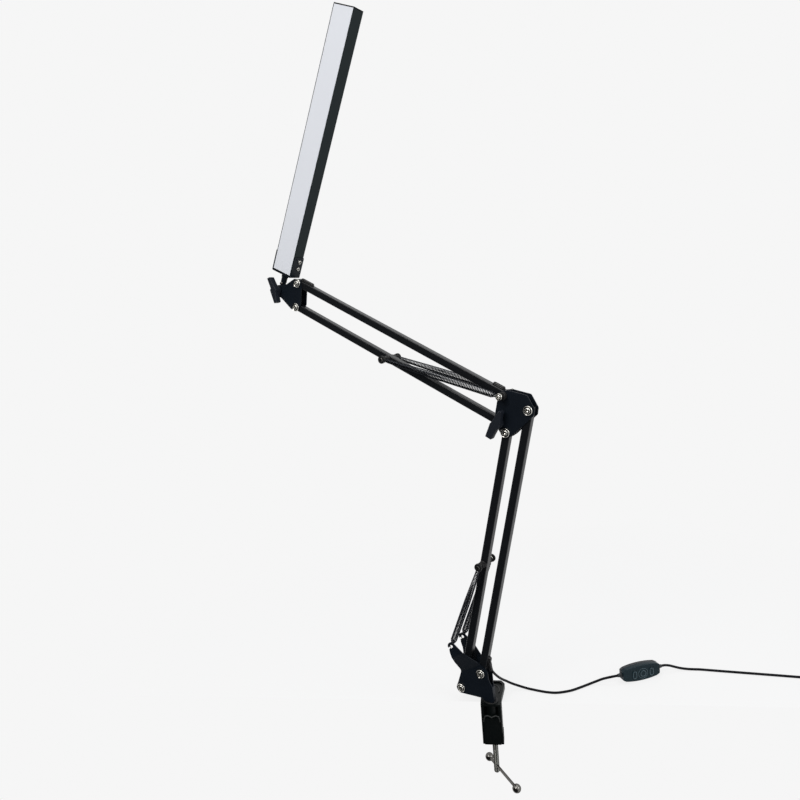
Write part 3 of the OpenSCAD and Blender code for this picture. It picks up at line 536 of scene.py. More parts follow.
def makeStage():
    table = bpy.data.meshes.new("tabletop")
    left, right, front, rear, low = tableEdges.values()
    table.from_pydata([(left, front, low), (right, front, low), (right, rear, low), (left, rear, low)],
                      [], [(0, 1, 2, 3)])
    top = newObject("tabletop", table)
    white, near, room = ((stageLook[shade],) * 3 for shade in ("white", "near", "room"))
    f = Finish("tabletopWhite", Base_Color=(0.86, 0.86, 0.86, 1), Roughness=0.8, Specular_IOR_Level=0.1)
    away = f.add("ShaderNodeVectorMath", dict(operation="DISTANCE"), [f.place(), stageLook["shadeAt"]], 1)
    share = away.above(stageLook["shadeReach"], stageLook["shadeFade"])
    glow = f.add("ShaderNodeEmission", {}, dict(Color=f.blend(share, near, white)))
    mixed = f.add("ShaderNodeMixShader", {}, {
        0: f.seenPlainly() * (share * (1 - stageLook["plain"]) + stageLook["plain"]),
        1: Wire(f, f.shader.outputs[0]), 2: glow})
    f.put(f.tree.nodes["Material Output"].inputs[0], mixed)
    table.materials.append(f.material)

    # surround: dim for the light it gives, white where it is seen, with a dark room in front for reflections
    world = bpy.data.worlds.new("surround")
    bpy.context.scene.world = world
    world.use_nodes = True
    world.node_tree.nodes.clear()
    g = Graph(world.node_tree)
    front = g.dot(g.add("ShaderNodeTexCoord", {}, [], 0), Vector(stageLook["frontWay"]).normalized())
    hidden = front.above(stageLook["frontFrom"], stageLook["frontFade"]) * g.ray("Glossy")
    dim = g.add("ShaderNodeBackground", {}, dict(Color=(0.95, 0.97, 1, 1), Strength=stageLook["fill"]))
    bright = g.add("ShaderNodeBackground", {}, dict(Color=g.blend(hidden, white, room)))
    g.add("ShaderNodeOutputWorld", {}, [g.add("ShaderNodeMixShader", {}, [g.seenPlainly(), dim, bright])])

    for name, place, aim, size, power, tone in (
            ("keyLight", (-0.9, -1.5, 1.7), (-0.1, 0, 0.45), 1.1, 26, (1, 0.985, 0.96)),
            ("sideLight", (1.5, -0.7, 1.1), (0, 0, 0.4), 0.9, 12, (0.95, 0.98, 1)),
            ("topLight", (0.1, 0.3, 2.2), (0, 0, 0.4), 1.4, 16, (1, 1, 1))):
        lamp = bpy.data.lights.new(name, "AREA")
        lamp.size = size
        lamp.energy = power
        lamp.color = tone
        way = Vector(place) - Vector(aim)
        newObject(name, lamp).matrix_world = (Matrix.Translation(place)
                                              @ way.to_track_quat("Z", "Y").to_matrix().to_4x4())


makeStage()
print("lamp: stage set")

# plain finishes on every solid first; detailed pieces replace them below
for part in frame["record"]["subparts"]:
    solid = frame["nodes"][part["node"]]
    solid.data.materials.clear()
    solid.data.materials.append(paint[slotPaint[part["material_slot"]]])


# square arm tubes: drawn steel with rounded corners, open at both ends
def squareTube(length):
    outer, inner = (boxOutline(w, w, corner, 4) for w, corner in (
        (arms["tube"], 1.5), (arms["tube"] - 2 * arms["wall"], 0.6)))
    low, high = -arms["over"], length + arms["over"]
    return loft([flat(outer, low), flat(outer, high), flat(inner, high), flat(inner, low)], loop=True)


for label, end, place, body in (
        ("lower", "Right", alongLower(baseRight), "lower_arm"), ("lower", "Left", alongLower(baseLeft), "lower_link"),
        ("upper", "Top", alongUpper(elbowTop), "upper_arm"), ("upper", "Low", alongUpper(elbowLow), "upper_link")):
    makePiece("tube" + label.capitalize() + end, squareTube(arms[label]), place, body, "tube",
              ["%s_tube_%s" % (label, end.lower())], bevel=0.12, steps=1)
print("lamp: tubes made")


# side plates: stamped sheet with rounded corners and bevelled edges
def offsets(origin, *pairs):
    return [origin + Vector(p) for p in pairs]


def platePair(body, outline, radii):
    shape = rounded(outline, radii, 6)
    for end, near, far in (("Front", -plateOut, -plateIn), ("Rear", plateIn, plateOut)):
        makePiece(body + "Plate" + end, slab(shape, near, far), armFrame, body, "plate",
                  ["%s_plate_%s" % (body, end.lower())], bevel=0.3)


platePair("elbow", offsets(elbowRight, (-37.8, 24.4), (-25.3, 25.2), (-0.3, 18.9), (8.4, 2), (6.9, -6.8),
                           (-22.2, -31.5), (-29.2, -36), (-37.6, -33.6), (-46.6, -17.5), (-45.2, -2.5),
                           (-41.3, 12.9)),
          [3, 4, 4, 4, 4, 5, 5, 4, 5, 4, 4])
platePair("head", offsets(headTop, (-23.5, 0.5), (-5.5, 7.4), (7.2, 5.2), (6.9, -6.2), (2.2, -32.3), (-5.6, -41.6),
                          (-18.2, -36.9), (-34.9, -20), (-45.6, -12.2), (-47.8, -4.6), (-41.5, 1.3)),
          [5, 4, 4, 4, 5, 5, 5, 5, 4, 4, 4])

# base plates: flat at the pivots, folded outwards above, and ending in a hook for the spring
fold = dict(start=10.4, end=36, blur=1.2, flare=9.75, turn=30, trim=5)
hookLook = dict(rim=5.8, hole=2.4, slot=1.1, slotAt=220, stop=48)


def arc(centre, radius, start, stop, steps=12):
    return [centre + Vector(onCircle(radius, start + (stop - start) * k / steps)) for k in range(steps + 1)]


def basePlate(side, f=fold, h=hookLook):
    outer, inner = (math.degrees(math.asin(h["slot"] / h[edge])) for edge in ("rim", "hole"))
    hook = (arc(hookAt, h["hole"], h["slotAt"] + inner, h["slotAt"] + 360 - inner)
            + arc(hookAt, h["rim"], h["slotAt"] - outer, h["stop"]))
    trim = f["trim"] if side > 0 else 0
    lower = rounded([
        hookAt + Vector(onCircle(h["rim"], h["slotAt"] + outer)), *offsets(hookAt, (-3.2, -9.2), (1.8, -24.7)),
        *offsets(baseRight, (-30.1, -1.4), (-36.5, -20)), *offsets(baseLeft, (-8.6, -2), (-3, -8.4)),
        (-9, 12), (-6.5, 8.7), (7.4 - trim, 8.7), (8.6 - trim, 15.5), (7 - trim, 31.4),
        *offsets(baseRight, (11.2, -6.5), (10.8, 4.6)), hook[-1]],
        [0, 3, 6, 8, 5, 6, 5, 3, 2, 3, 3, 4, 4, 4, 0])
    # the walk goes round the hook's hole and rim, down the right edge, and back up the left
    bm = bmesh.new()
    bm.faces.new([bm.verts.new((x, 0, z)) for x, z in hook + lower[-2::-1]])
    turn = math.radians(f["turn"])
    across = Vector((-math.sin(turn), 0, math.cos(turn)))
    pivot = Vector((baseRight.x, 0, baseRight.y))
    for level in (f["start"], f["end"]):
        for blur in (-f["blur"], 0, f["blur"]):
            bmesh.ops.bisect_plane(bm, geom=bm.verts[:] + bm.edges[:] + bm.faces[:],
                                   plane_co=pivot + across * (level + blur), plane_no=across)
    bmesh.ops.triangulate(bm, faces=bm.faces[:])
    grown = bmesh.ops.extrude_face_region(bm, geom=bm.faces[:])
    for v in grown["geom"]:
        if isinstance(v, bmesh.types.BMVert):
            v.co.y += plateOut - plateIn
    for v in bm.verts:
        share = min(1, max(0, ((v.co - pivot).dot(across) - f["start"]) / (f["end"] - f["start"])))
        v.co.y = side * (v.co.y + plateIn + f["flare"] * share)
    bmesh.ops.recalc_face_normals(bm, faces=bm.faces[:])
    return bm


for side, end in ((-1, "Front"), (1, "Rear")):
    makePiece("basePlate" + end, basePlate(side), armFrame, "base", "plate", ["base_plate_" + end.lower()],
              bevel=0.28)
print("lamp: plates made")

# bolts: pan heads with a rolled rim and a dark nylon ring in its groove as painted shade, lock nuts behind
boltLook = dict(head=6.2, high=3.6, shank=3, socket=3.4, deep=1.6, nut=9.6, nutHigh=4.5, turn=17, nutTurn=9)
springBoltLook = dict(boltLook, head=4.5, socket=2.6, deep=1.4, turn=40, nutTurn=0)
spacerProfile = [(3.05, 0), (5.2, 0), (5.5, 0.4), (5.5, 1.8), (4.9, 2.2), (4.9, 4.4), (5.5, 4.8), (5.5, 6.4),
                 (5.2, 6.8), (3.05, 6.8)]


def boltHead(b):
    # a rolled rim, a groove inside it, and a domed button with a hexagon socket
    high, socket, low = b["high"], b["socket"], b["high"] - b["deep"]
    rings = [ringAt(r, h) for r, h in [(b["shank"], 0)] + scaled(
        b["head"], high, (0.97, 0), (1, 0.15), (1, 0.45), (0.96, 0.62), (0.89, 0.7), (0.82, 0.62), (0.79, 0.45),
        (0.78, 0.12), (0.64, 0.12), (0.63, 0.6), (0.59, 0.82), (0.5, 0.95))]
    return loft(rings + [hexAt(socket + 0.3, high), hexAt(socket, high - 0.3), hexAt(socket - 0.1, low),
                         ringAt(0.3, low - 0.6)])


# a dark ring that fills the head's groove: painted shade
def boltGrooveShade(b=boltLook):
    return turnedShape(scaled(b["head"], b["high"], (0.645, 0.13), (0.645, 0.4), (0.775, 0.4), (0.775, 0.13)),
                       loop=True)


def lockNut(b):
    w, h = b["nut"], b["nutHigh"]
    return loft([ringAt(w * 0.5, 0), hexAt(w, 0.5), hexAt(w, h - 1.4)] + [ringAt(r, h + up) for r, up in (
        (w * 0.5, -0.9), (w * 0.44, -0.2), (w * 0.38, 0), (3.05, -0.2), (2.95, 0.8), (2.5, 1))])


def bolt(b, reach):
    return joined((boltHead(b), facingFront @ moved(0, 0, reach) @ turned("Z", b["turn"])),
                  (turnedShape([(b["shank"], -reach), (b["shank"], reach)]), facingFront),
                  (lockNut(b), facingRear @ moved(0, 0, reach) @ turned("Z", b["nutTurn"])))


for body, end, p in (("base", "Right", baseRight), ("base", "Left", baseLeft), ("elbow", "Right", elbowRight),
                     ("elbow", "Left", elbowLeft), ("head", "Top", headTop), ("head", "Low", headLow)):
    name = "bolt" + body.capitalize() + end
    makePiece(name, bolt(boltLook, plateOut), inArm(p), body, "nickel", ["%s_pivot_%s" % (body, end.lower())],
              smooth=35)
    # dark nylon ring in the bolt head's groove: painted shade
    makePiece(name + "GrooveShade", boltGrooveShade(), inArm(p) @ facingFront @ moved(0, 0, plateOut), body, "nylon")
makePiece("boltSpring", bolt(springBoltLook, springY + 2.2), inArm(elbowTop), "elbow", "nickel", ["spring_bolt"],
          smooth=35)
makePiece("springSpacers", onBothSides(spacerProfile, 28, plateOut), inArm(elbowTop), "elbow", "nylon",
          ["spring_spacers"], smooth=35)
print("lamp: bolts made")

# wing knobs: each wing is straight on one side, widens to the hub on the other, and stands out further at its tip;
# the elbow's two wings differ in width
knobLook = dict(reach=20, near=4, nearTip=4.8, far=12.6, farTip=15.1, hub=6.4, tipCorner=0.9, corner=1.6)
knobPlaces = dict(elbow=(elbowLow, 61), head=(nose, 104))
knobOutlines = dict(
    elbow=[(19.5, -0.6), (19.5, 2.6), (1.9, 6.4), (-2.6, 7.6), (-20, 5.4), (-20, -3.4), (-6, -3.8), (-1.4, -6.2),
           (6.6, -4.4)],
    head=[(20, -2.7), (20, 2.7), (3.8, 3.6), (2.4, 6.4), (-20, 2.7), (-20, -2.7), (-3.8, -3.6), (-2.4, -6.4)])


def wingKnob(corners, k=knobLook):
    outline = rounded(corners, [k["tipCorner"] if abs(x) > 15 else k["corner"] for x, y in corners], 4)
    rings = []
    for t, inset in ((0, 0.7), (0.07, 0.1), (0.5, 0), (0.93, 0.1), (1, 0.7)):
        ring = []
        for x, y in outline:
            out = (x / k["reach"]) ** 2
            near, far = (k[end] + (k[end + "Tip"] - k[end]) * out for end in ("near", "far"))
            ring.append((x * (1 - inset / k["reach"]), y * (1 - inset / k["hub"]), near + (far - near) * t))
        rings.append(ring)
    hub = [(3.1, 0.1), (5.6, 0.1), (k["hub"], 0.9), (k["hub"], 3.6), (6, 5.2), (5.4, 8.5), (3.1, 9)]
    return joined(loft(rings), turnedShape(hub, 32))


def knobBolt():
    shank = [(3, -plateOut), (3, plateOut + 11.4), (2.5, plateOut + 12)]
    head = [(6.2, 0), (6.1, 0.8), (5.2, 1.7), (3.4, 2.3), (1.2, 2.5)]
    return joined((turnedShape(shank), facingFront), (turnedShape(head, 28), facingRear @ moved(0, 0, plateOut)))


for body, (p, turn) in knobPlaces.items():
    knob = body + "_knob"
    makePiece("knob" + body.capitalize(), wingKnob(knobOutlines[body]),
              inArm(p) @ turned("Y", -turn) @ facingFront @ moved(0, 0, plateOut), knob, "knob", [knob],
              bevel=0.3, angle=40, smooth=35)
for body, (p, turn) in knobPlaces.items():
    makePiece("knobBolt" + body.capitalize(), knobBolt(), inArm(p), body, "nickel", [body + "_knob_bolt"], smooth=35)
print("lamp: knobs made")

# tension springs: close-wound, narrowing to an eye at each end
springLook = dict(wire=1.45, across=9.2, pitch=2.3, cone=3, eye=2.9, neck=0.62, taper=0.42, inset=2.6, perTurn=14)


def springPaths(start, end, look=springLook):
    # the coils between the two eyes, and the eyes themselves
    long = (end - start).length
    way = (end - start).normalized()
    side = way.cross(Vector((0, 1, 0))).normalized()
    other = way.cross(side)
    eye, per = look["eye"], look["perTurn"]
    neck = eye * 2 + 1.6
    radius = (look["across"] - look["wire"]) / 2
    eyes = []
    for origin, inwards in ((start, way), (end, -way)):
        loop = []
        for k in range(15):
            x, y = onCircle(eye, -60 + 300 * k / 14)
            loop.append(origin + inwards * (eye - x) + side * y * 0.9)
        eyes.append(loop + [origin + inwards * (neck - 0.9) + side * 0.2,
                            origin + inwards * (neck + 0.6) + side * radius * 0.4])
    path = []
    turns = round((long - 2 * neck) / look["pitch"])
    for k in range(turns * per + 1):
        share = k / (turns * per)
        narrow = min(1, 0.3 + 0.7 * min(share, 1 - share) * turns / look["cone"],
                     look["neck"] + (1 - look["neck"]) * (1 - share) / look["taper"])
        x, y = onCircle(radius * narrow, 360 * k / per)
        path.append(start + way * (neck + (long - 2 * neck) * share) + side * x + other * y)
    return path, eyes


def makeSprings(label, a, b):
    inset, wire = springLook["inset"], springLook["wire"] / 2
    for end, y in (("Front", -springY), ("Rear", springY)):
        first, last = Vector((a.x, y, a.y)), Vector((b.x, y, b.y))
        way = (last - first).normalized()
        path, eyes = springPaths(first - way * inset, last + way * (inset + 0.6))
        name = "spring" + label.capitalize() + end
        coils = makePiece(name, sweep(path, wire, 6, (0, 1, 0)), armFrame, None, "spring",
                          ["%s_spring_%s" % (label, end.lower())], smooth=80)
        loops = makePiece(name + "Eyes", joined(*(sweep(loop, wire * 1.05, 8, (0, 1, 0)) for loop in eyes)), armFrame,
                          None, "nickel", smooth=80)
        for piece in (coils, loops):
            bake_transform(piece)


makeSprings("lower", hookAt, lowPin)
makeSprings("upper", elbowTop, topPin)
print("lamp: springs made")

# spools and pins that carry the springs on the tubes
spoolProfile = [(2.55, 5.35), (5, 5.35), (5, 7.6), (3.9, 8.4), (3.9, 12.6), (4.7, 13.4), (3.5, 14), (3.5, 17.9),
                (4.4, 18.3), (5.5, 18.5), (5.5, 20.6), (5.1, 21.1), (2.55, 21.1)]
pinProfile = [(1.2, -21.9), (2.2, -21.7), (2.5, -21.3), (2.5, 21.3), (2.2, 21.7), (1.2, 21.9)]
for label, p in (("lower", lowPin), ("upper", topPin)):
    makePiece(label + "Spools", onBothSides(spoolProfile, 28), inArm(p), label + "_link", "nylon",
              [label + "_spools"], smooth=35)
    makePiece(label + "Pin", turnedShape(pinProfile), inArm(p) @ facingFront, label + "_link", "darkNickel",
              [label + "_spring_pin"], smooth=35)
print("lamp: spools made")

# clamp: cast body with a socket window, an arched rib and a raised panel on its outer face
clampLook = dict(half=14.2, front=-40, face=-38.8, rear=-20, top=7, low=-51, jaw=18.5, tip=24, panel=11.2)
bushProfile = [(6.2, -26.8), (7.9, -28.4), (7.9, 7.05), (10, 7.05), (10, 8.1), (9.6, 8.5), (6.5, 8.5), (6.1, 8.1)]
leftRib = [(-10.7, -17.5), (-10.4, -13), (-9, -10), (-6, -8.7), (-3, -9.6), (-0.8, -11.2)]


def clampPlan(inset=0, c=clampLook):
    h, j, t = c["half"] - inset, c["jaw"] - inset, c["tip"] - inset
    back, slant = 16 - inset * 0.4, 5.5 - inset * 0.3
    return [(-h, c["face"] + inset), (h, c["face"] + inset), (h, c["rear"]), (j, back), (j - slant, t),
            (slant - j, t), (-j, back), (-h, c["rear"])]


def makeClamp(c=clampLook):
    half, front, face, rear, top, low, wide = (
        c[k] for k in ("half", "front", "face", "rear", "top", "low", "panel"))
    seat = moved(0, arms["axis"], 0)
    web = upright(rounded([(-half, face), (half, face), (half, rear), (-half, rear)], [2.2, 2.2, 0, 0], 4),
                  low, top - 0.5)
    jaw = upright(rounded(clampPlan(), [2.2, 2.2, 3, 5, 4, 4, 5, 3], 4), 0, top)
    lowJaw = upright([(-11, -21), (11, -21), (11, -2), (-11, -2)], low, low + 12)
    boss = turnedShape([(10.2, low), (11, low + 0.8), (11, low + 11), (10, low + 12)], 40)
    panel = slab(rounded([(-wide, low), (wide, low), (wide, -12.4), (-wide, -12.4)], [1, 1, 6, 6], 6),
                 front, face + 1)
    step = upright(rounded([(12.5, face), (14.9, face), (14.9, -23), (12.5, -23)], [0, 1.5, 1, 0], 3), low, -35)
    pocket = upright(rounded(clampPlan(3.4)[2:6] + [(-9.5, -16), (9.5, -16)], 2.5, 3), top - 2, top + 2)
    window = slab(rounded([(-9.9, -8.6), (9.9, -8.6), (9.9, 4.8), (-9.9, 4.8)], 1.4, 3), front - 2, -33.6)
    socket = turnedShape([(9.9, -16), (9.9, 5.5)], 36)
    bore = turnedShape([(8, -31), (8, 9)], 36)
    thread = turnedShape([(4.1, low - 2), (4.1, low + 14)], 28)
    carve = (cutters("UNION", jaw, lowJaw, boss, panel, step) + cutters("DIFFERENCE", pocket, window)
             + cutters("UNION", (socket, seat)) + cutters("DIFFERENCE", (bore, seat), thread))
    makePiece("clampBody", web, here, "clamp", "clamp", ["clamp_body"], bevel=0.45, angle=35, carve=carve, smooth=40)
    rib = sweep([(x, -39.1, z) for x, z in leftRib + [(-x, z) for x, z in leftRib[::-1]]], 1.05, 8, (0, 1, 0))
    archTurns = [math.radians(d) for d in range(-118, 119, 8)]
    arch = sweep([(11 * math.sin(a), 1 + 15 * math.cos(a), 5.1) for a in archTurns], 0.85, 8)
    # the ribs take the lighter copy of the clamp coat, a painted highlight
    makePiece("clampRibs", joined(rib, arch), here, "clamp", "edge")
    makePiece("socketBush", turnedShape(bushProfile, 40), seat, "clamp", "nylon", ["socket_bush"], smooth=35)


makeClamp()

# clamp screw with a rolled thread, its swivel pad and the tommy bar
screwLook = dict(radius=4, depth=0.62, pitch=1.25, low=-120, high=-36.3, bar=-110, turn=-59, shift=17, reach=38,
                 ball=6)
padProfile = [(3.1, -36), (6.6, -36), (7, -35.6), (7, -33.4), (11.4, -33), (12, -32.4), (12, -30.6), (11.4, -30),
              (9, -30), (8.4, -30.5), (0.5, -30.5)]


def threadedRod(s=screwLook, perPitch=6, sides=28):
    low, high = s["low"], s["high"]
    count = int((high - low) / s["pitch"] * perPitch)
    rings = []
    for j in range(count + 1):
        z = low + (high - low) * j / count
        # the foot is chamfered and the thread runs out at the top
        foot, runOut = 0.78 + 0.22 * min(1, (z - low) / 1.2), min(1, high - z)
        ring = []
        for i in range(sides):
            wave = 1 - abs(2 * ((z / s["pitch"] - i / sides) % 1) - 1)
            ring.append((*onCircle((s["radius"] - s["depth"] * wave * runOut) * foot, 360 * i / sides), z))
        rings.append(ring)
    return loft(rings)


def makeScrew(s=screwLook):
    neck = turnedShape([(3, -37), (3, -33), (2.6, -32.6)])
    makePiece("clampScrew", joined(threadedRod(), neck), here, "screw", "screw", ["clamp_screw"], smooth=60)
    ball = [onCircle(s["ball"], 15 * k) for k in range(11)]
    end = [(max(0.8, y), -s["reach"] - x) for x, y in ball] + [(2.3, 5.5 - s["reach"]), (2, 6.1 - s["reach"])]
    makePiece("tommyBar", turnedShape(end + [(r, -z) for r, z in end[::-1]], 28),
              moved(0, 0, s["bar"]) @ turned("Z", s["turn"]) @ moved(s["shift"], 0, 0) @ turned("Y", 90),
              "tommy", "darkNickel", ["tommy_bar"], smooth=35)
    makePiece("clampPad", turnedShape(padProfile, 40), here, "pad", "pad", ["clamp_pad"], smooth=35)


makeScrew()
print("lamp: clamp made")

# foot: a block between the base plates on the stem that turns in the clamp
footLook = dict(wide=10, deep=10.9, corner=1.2, low=8.65, high=28.65, stem=6)


def makeFoot(f=footLook):
    block = upright(boxOutline(f["wide"], f["deep"], f["corner"], 3), f["low"], f["high"])
    stem = turnedShape([(f["stem"] - 0.6, -26.5), (f["stem"], -25.6), (f["stem"], f["low"] + 1)], 36)
    makePiece("baseStem", joined(block, stem), armFrame, "base", "plate", ["base_stem"], bevel=0.4, angle=50)


makeFoot()

# rubber grommets where the lead enters the tubes, and the tapered sleeve where the cord leaves
sleeveLook = dict(start=(5.2, 0, 19.5), bend=(8.6, 0, 14.5), leave=(4, 0, 53), way=(0.27, 0.45, -0.85),
                  radius=3.5, taper=0.95, rings=0.18)


def grommet(low, high):
    rings = []
    for wide, shorter, h in ((7, 0, 0), (7, 0, 1.3), (6.4, 0.6, 1.7), (5.5, 1.5, 1.8), (5.3, 1.7, 2.9),
                             (4.7, 2.3, 3.35), (3.2, 3.8, 3.4), (3, 4, 2.9)):
        rings.append([(arms["tube"] / 2 + h, y, (low + high) / 2 + z)
                      for y, z in stadium(high - low - shorter, wide)])
    return loft(rings)


def taperedSleeve(toTube, s=sleeveLook, steps=40):
    # from the grommet's face to the cord, with a few moulded rings before its end
    way, leave = Vector(s["way"]).normalized(), Vector(s["leave"])
    a, b = (toTube @ Vector(s[point]) for point in ("start", "bend"))
    c, d = leave - way * 4.5, leave - way * 0.15
    path, radii = [], []
    for k in range(steps + 1):
        t = k / steps
        path.append(a * (1 - t) ** 3 + b * 3 * t * (1 - t) ** 2 + c * 3 * t * t * (1 - t) + d * t ** 3)
        radii.append(s["radius"] - s["taper"] * t + (s["rings"] if k % 6 in (2, 3) and 12 < k < 38 else 0))
    return sweep(path, radii, 20, (0, 1, 0))


for end, low, high in (("Elbow", 3, 22), ("Head", 344, 370)):
    makePiece("grommet" + end, grommet(low, high), alongUpper(elbowTop), "upper_arm", "rubber",
              ["upper_grommet_" + end.lower()], smooth=40)
toTube = armFrame.inverted() @ alongLower(baseRight)
makePiece("grommetLower", joined((grommet(9, 27), toTube), taperedSleeve(toTube)), armFrame, "lower_arm", "rubber",
          ["lower_grommet"])
print("lamp: foot and grommets made")

# knuckle: barrel on the tilt bolt, stepped post with a knurled collar and a small lock nut
knuckleLook = dict(barrel=7.1, post=4.5, collar=5.2, top=26.05, knurl=28)


def makeKnuckle(k=knuckleLook):
    wide, post, collar, knurl = (k[part] for part in ("barrel", "post", "collar", "knurl"))
    barrel = turnedShape([(3.1, -5.3), (6.7, -5.3), (wide, -4.9), (wide, 4.9), (6.7, 5.3), (3.1, 5.3)], 36)
    stem = turnedShape([(3.9, 4), (post - 0.4, 8), (post - 0.4, 12.6), (post, 13), (post, 20.4)], 32)
    rings = []
    for z, r, bite in ((20.2, 4.4, 0), (20.5, collar - 0.4, 0.1), (20.9, collar, 0.3), (24.9, collar, 0.3),
                       (25.6, collar - 0.3, 0.1), (k["top"], collar - 0.5, 0)):
        rings.append([(*onCircle(r - bite * (i % 2), 180 * i / knurl), z) for i in range(2 * knurl)])
    pin = turnedShape([(2.5, 25), (2.5, 30.2), (4, 30.2), (4, 32.2), (3.5, 32.6)])
    makePiece("knuckle", joined((barrel, facingFront), stem, loft(rings), pin), barFrame, "knuckle", "plate",
              ["knuckle"], smooth=40)
    nut = loft([hexAt(4.6, 0), hexAt(4.6, 1.5), ringAt(1.9, 1.9), ringAt(1.3, 1.9), ringAt(1.2, 2.6)])
    makePiece("knuckleNut", nut, barFrame @ moved(0, -3.6, 10.6) @ facingFront, "knuckle", "darkNickel",
              smooth=30)


makeKnuckle()

# bracket: a bent sheet cradle under the bar, held by two screws on each side
bracketLook = dict(half=18.35, sheet=1.2, floor=2, low=26.2, high=58.2, deep=20.6, screws=(12.6, 23.2), screwY=2.2)


# domed screw heads, and the dark disc in their recess, which is painted shade
def smallScrew(radius, high):
    return turnedShape(scaled(radius, high, (1, 0), (1, 0.4), (0.97, 0.7), (0.88, 0.92), (0.76, 1), (0.64, 0.96),
                              (0.58, 0.8), (0.56, 0.4), (0.1, 0.3)))


# a dark disc inside the screw head's recess: painted shade
def screwRecessShade(radius, high):
    return turnedShape(scaled(radius, high, (0.2, 0.3), (0.2, 0.5), (0.57, 0.5), (0.57, 0.3)), loop=True)


def makeBracket(b=bracketLook):
    o, i, low, high, deep = b["half"] + b["sheet"], b["half"] + 0.02, b["low"], b["high"], b["deep"] / 2
    floor = low + b["floor"]
    profile = rounded([(-o, low), (o, low), (o, high), (i, high), (i, floor), (-i, floor), (-i, high), (-o, high)],
                      [2.2, 2.2, 0.2, 0.2, 0.9, 0.9, 0.2, 0.2], 4)
    corners = [(upright([(-3, -3), (3, -3), (3, 3), (-3, 3)], -3, 3),
                barFrame @ moved(side * (o + i) / 2, y * (deep + 1.6), high + 1.6) @ turned("X", 45))
               for side in (-1, 1) for y in (-1, 1)]
    dimples = [(turnedShape([(0.8, -2), (0.8, 2)], 16),
                barFrame @ moved(side * o, -5.6, floor + 27) @ turned("Y", 90)) for side in (-1, 1)]
    makePiece("barBracket", slab(profile, -deep, deep), barFrame, "light_bar", "plate", ["bar_bracket"], bevel=0.2,
              carve=cutters("DIFFERENCE", *corners, *dimples))
    places = [moved(side * (o + 0.01), b["screwY"], floor + z) @ turned("Y", side * 90) @ turned("Z", 20 + 31 * z)
              for side in (-1, 1) for z in b["screws"]]
    screws = joined(*((smallScrew(2.9, 1.6), place) for place in places))
    makePiece("barScrews", screws, barFrame, "light_bar", "nickel", ["bar_screws"], smooth=35)
    # dark discs in the screw recesses: painted shade
    makePiece("barScrewRecessShades", joined(*((screwRecessShade(2.9, 1.6), place) for place in places)), barFrame, "light_bar",
              "nylon")


makeBracket()

# light bar: drawn channel with thin lips, an opal sheet between them and a cap at each end
barLook = dict(wide=36.7, deep=20.6, wall=1.6, lip=0.95, low=28.2, long=371, cap=1.5, sheet=1.4)


def makeBar(b=barLook):
    w, d, t, lip, cap = b["wide"] / 2, b["deep"] / 2, b["wall"], b["lip"], b["cap"]
    foot, head = b["low"], b["low"] + b["long"]
    low, high = foot + cap + 0.05, head - cap - 0.05
    profile = rounded([(-w, -d), (-w, d), (w, d), (w, -d), (w - lip, -d), (w - lip, -d + 1.5), (w - t, -d + 1.7),
                       (w - t, d - t), (t - w, d - t), (t - w, -d + 1.7), (lip - w, -d + 1.5), (lip - w, -d)],
                      [0.5, 1.1, 1.1, 0.5, 0.25, 0.1, 0.1, 0.6, 0.6, 0.1, 0.1, 0.25], 4)
    makePiece("barHousing", upright(profile, low, high), barFrame, "light_bar", "bar", ["bar_housing"], bevel=0.12,
              steps=1, angle=60)
    sheet = upright(boxOutline(2 * (w - lip) - 0.1, b["sheet"], 0.3, 3), low, high)
    ribs = [(upright(boxOutline(1, 2.6, 0.2, 2), low, high), moved(side * (w - t - 1.2), 2.6 - d, 0))
            for side in (-1, 1)]
    makePiece("diffuser", joined((sheet, moved(0, b["sheet"] / 2 + 0.12 - d, 0)), *ribs), barFrame, "light_bar",
              "opal", ["diffuser"], bevel=0.1, steps=1, angle=60)
    outline = rounded([(-w, -d), (w, -d), (w, d), (-w, d)], [0.6, 0.6, 1.2, 1.2], 4)
    makePiece("barCaps", joined(*(upright(outline, z, z + cap) for z in (foot, head - cap))), barFrame, "light_bar",
              "cap", ["bar_end_caps"], bevel=0.3)
    screws = [(smallScrew(2.2, 0.5), moved(side * 13.2, 4.5, head - 0.1) @ turned("Z", side * 33))
              for side in (-1, 1)]
    makePiece("capScrews", joined(*screws), barFrame, "light_bar", "darkNickel", smooth=35)


makeBar()
print("lamp: head and light bar made")


# the controller's shells and keys, and the plug
def barrelOutline(c, steps=12):
    # long sides that bow outwards between cut corners, as one loop
    reach, bulge = c["long"] / 2 - c["chamfer"], c["wide"] / 2 - c["shoulder"]
    bow = (reach ** 2 + bulge ** 2) / (2 * bulge)
    places = [reach * (1 - 2 * k / steps) for k in range(steps + 1)]
    above = [(x, c["wide"] / 2 - bow + math.sqrt(bow ** 2 - x ** 2)) for x in places]
    half = [(c["long"] / 2, c["end"])] + above + [(-c["long"] / 2, c["end"])]
    radii = [1.6, 2.2] + [0] * (steps - 1) + [2.2, 1.6]
    return rounded(half + [(-x, -y) for x, y in half], radii * 2, 4)


def keyRings(wide, long, high, *steps):
    # outlines of a round or long key, each smaller and higher by its own step
    rings = []
    for less, up in steps:
        if wide == long:
            rings.append(ringAt((wide - less) / 2, high + up, 26))
        else:
            rings.append(flat(stadium(long - less, wide - less, 12), high + up))
    return rings


def ringedSleeve(low, first, last, groove):
    # a short sleeve round the cord, with a groove at every third step
    return turnedShape([(first, low)] + [
        (first + (last - first) * k / 12 - (groove if k % 3 == 1 else 0), 0.5 * k) for k in range(1, 13)])


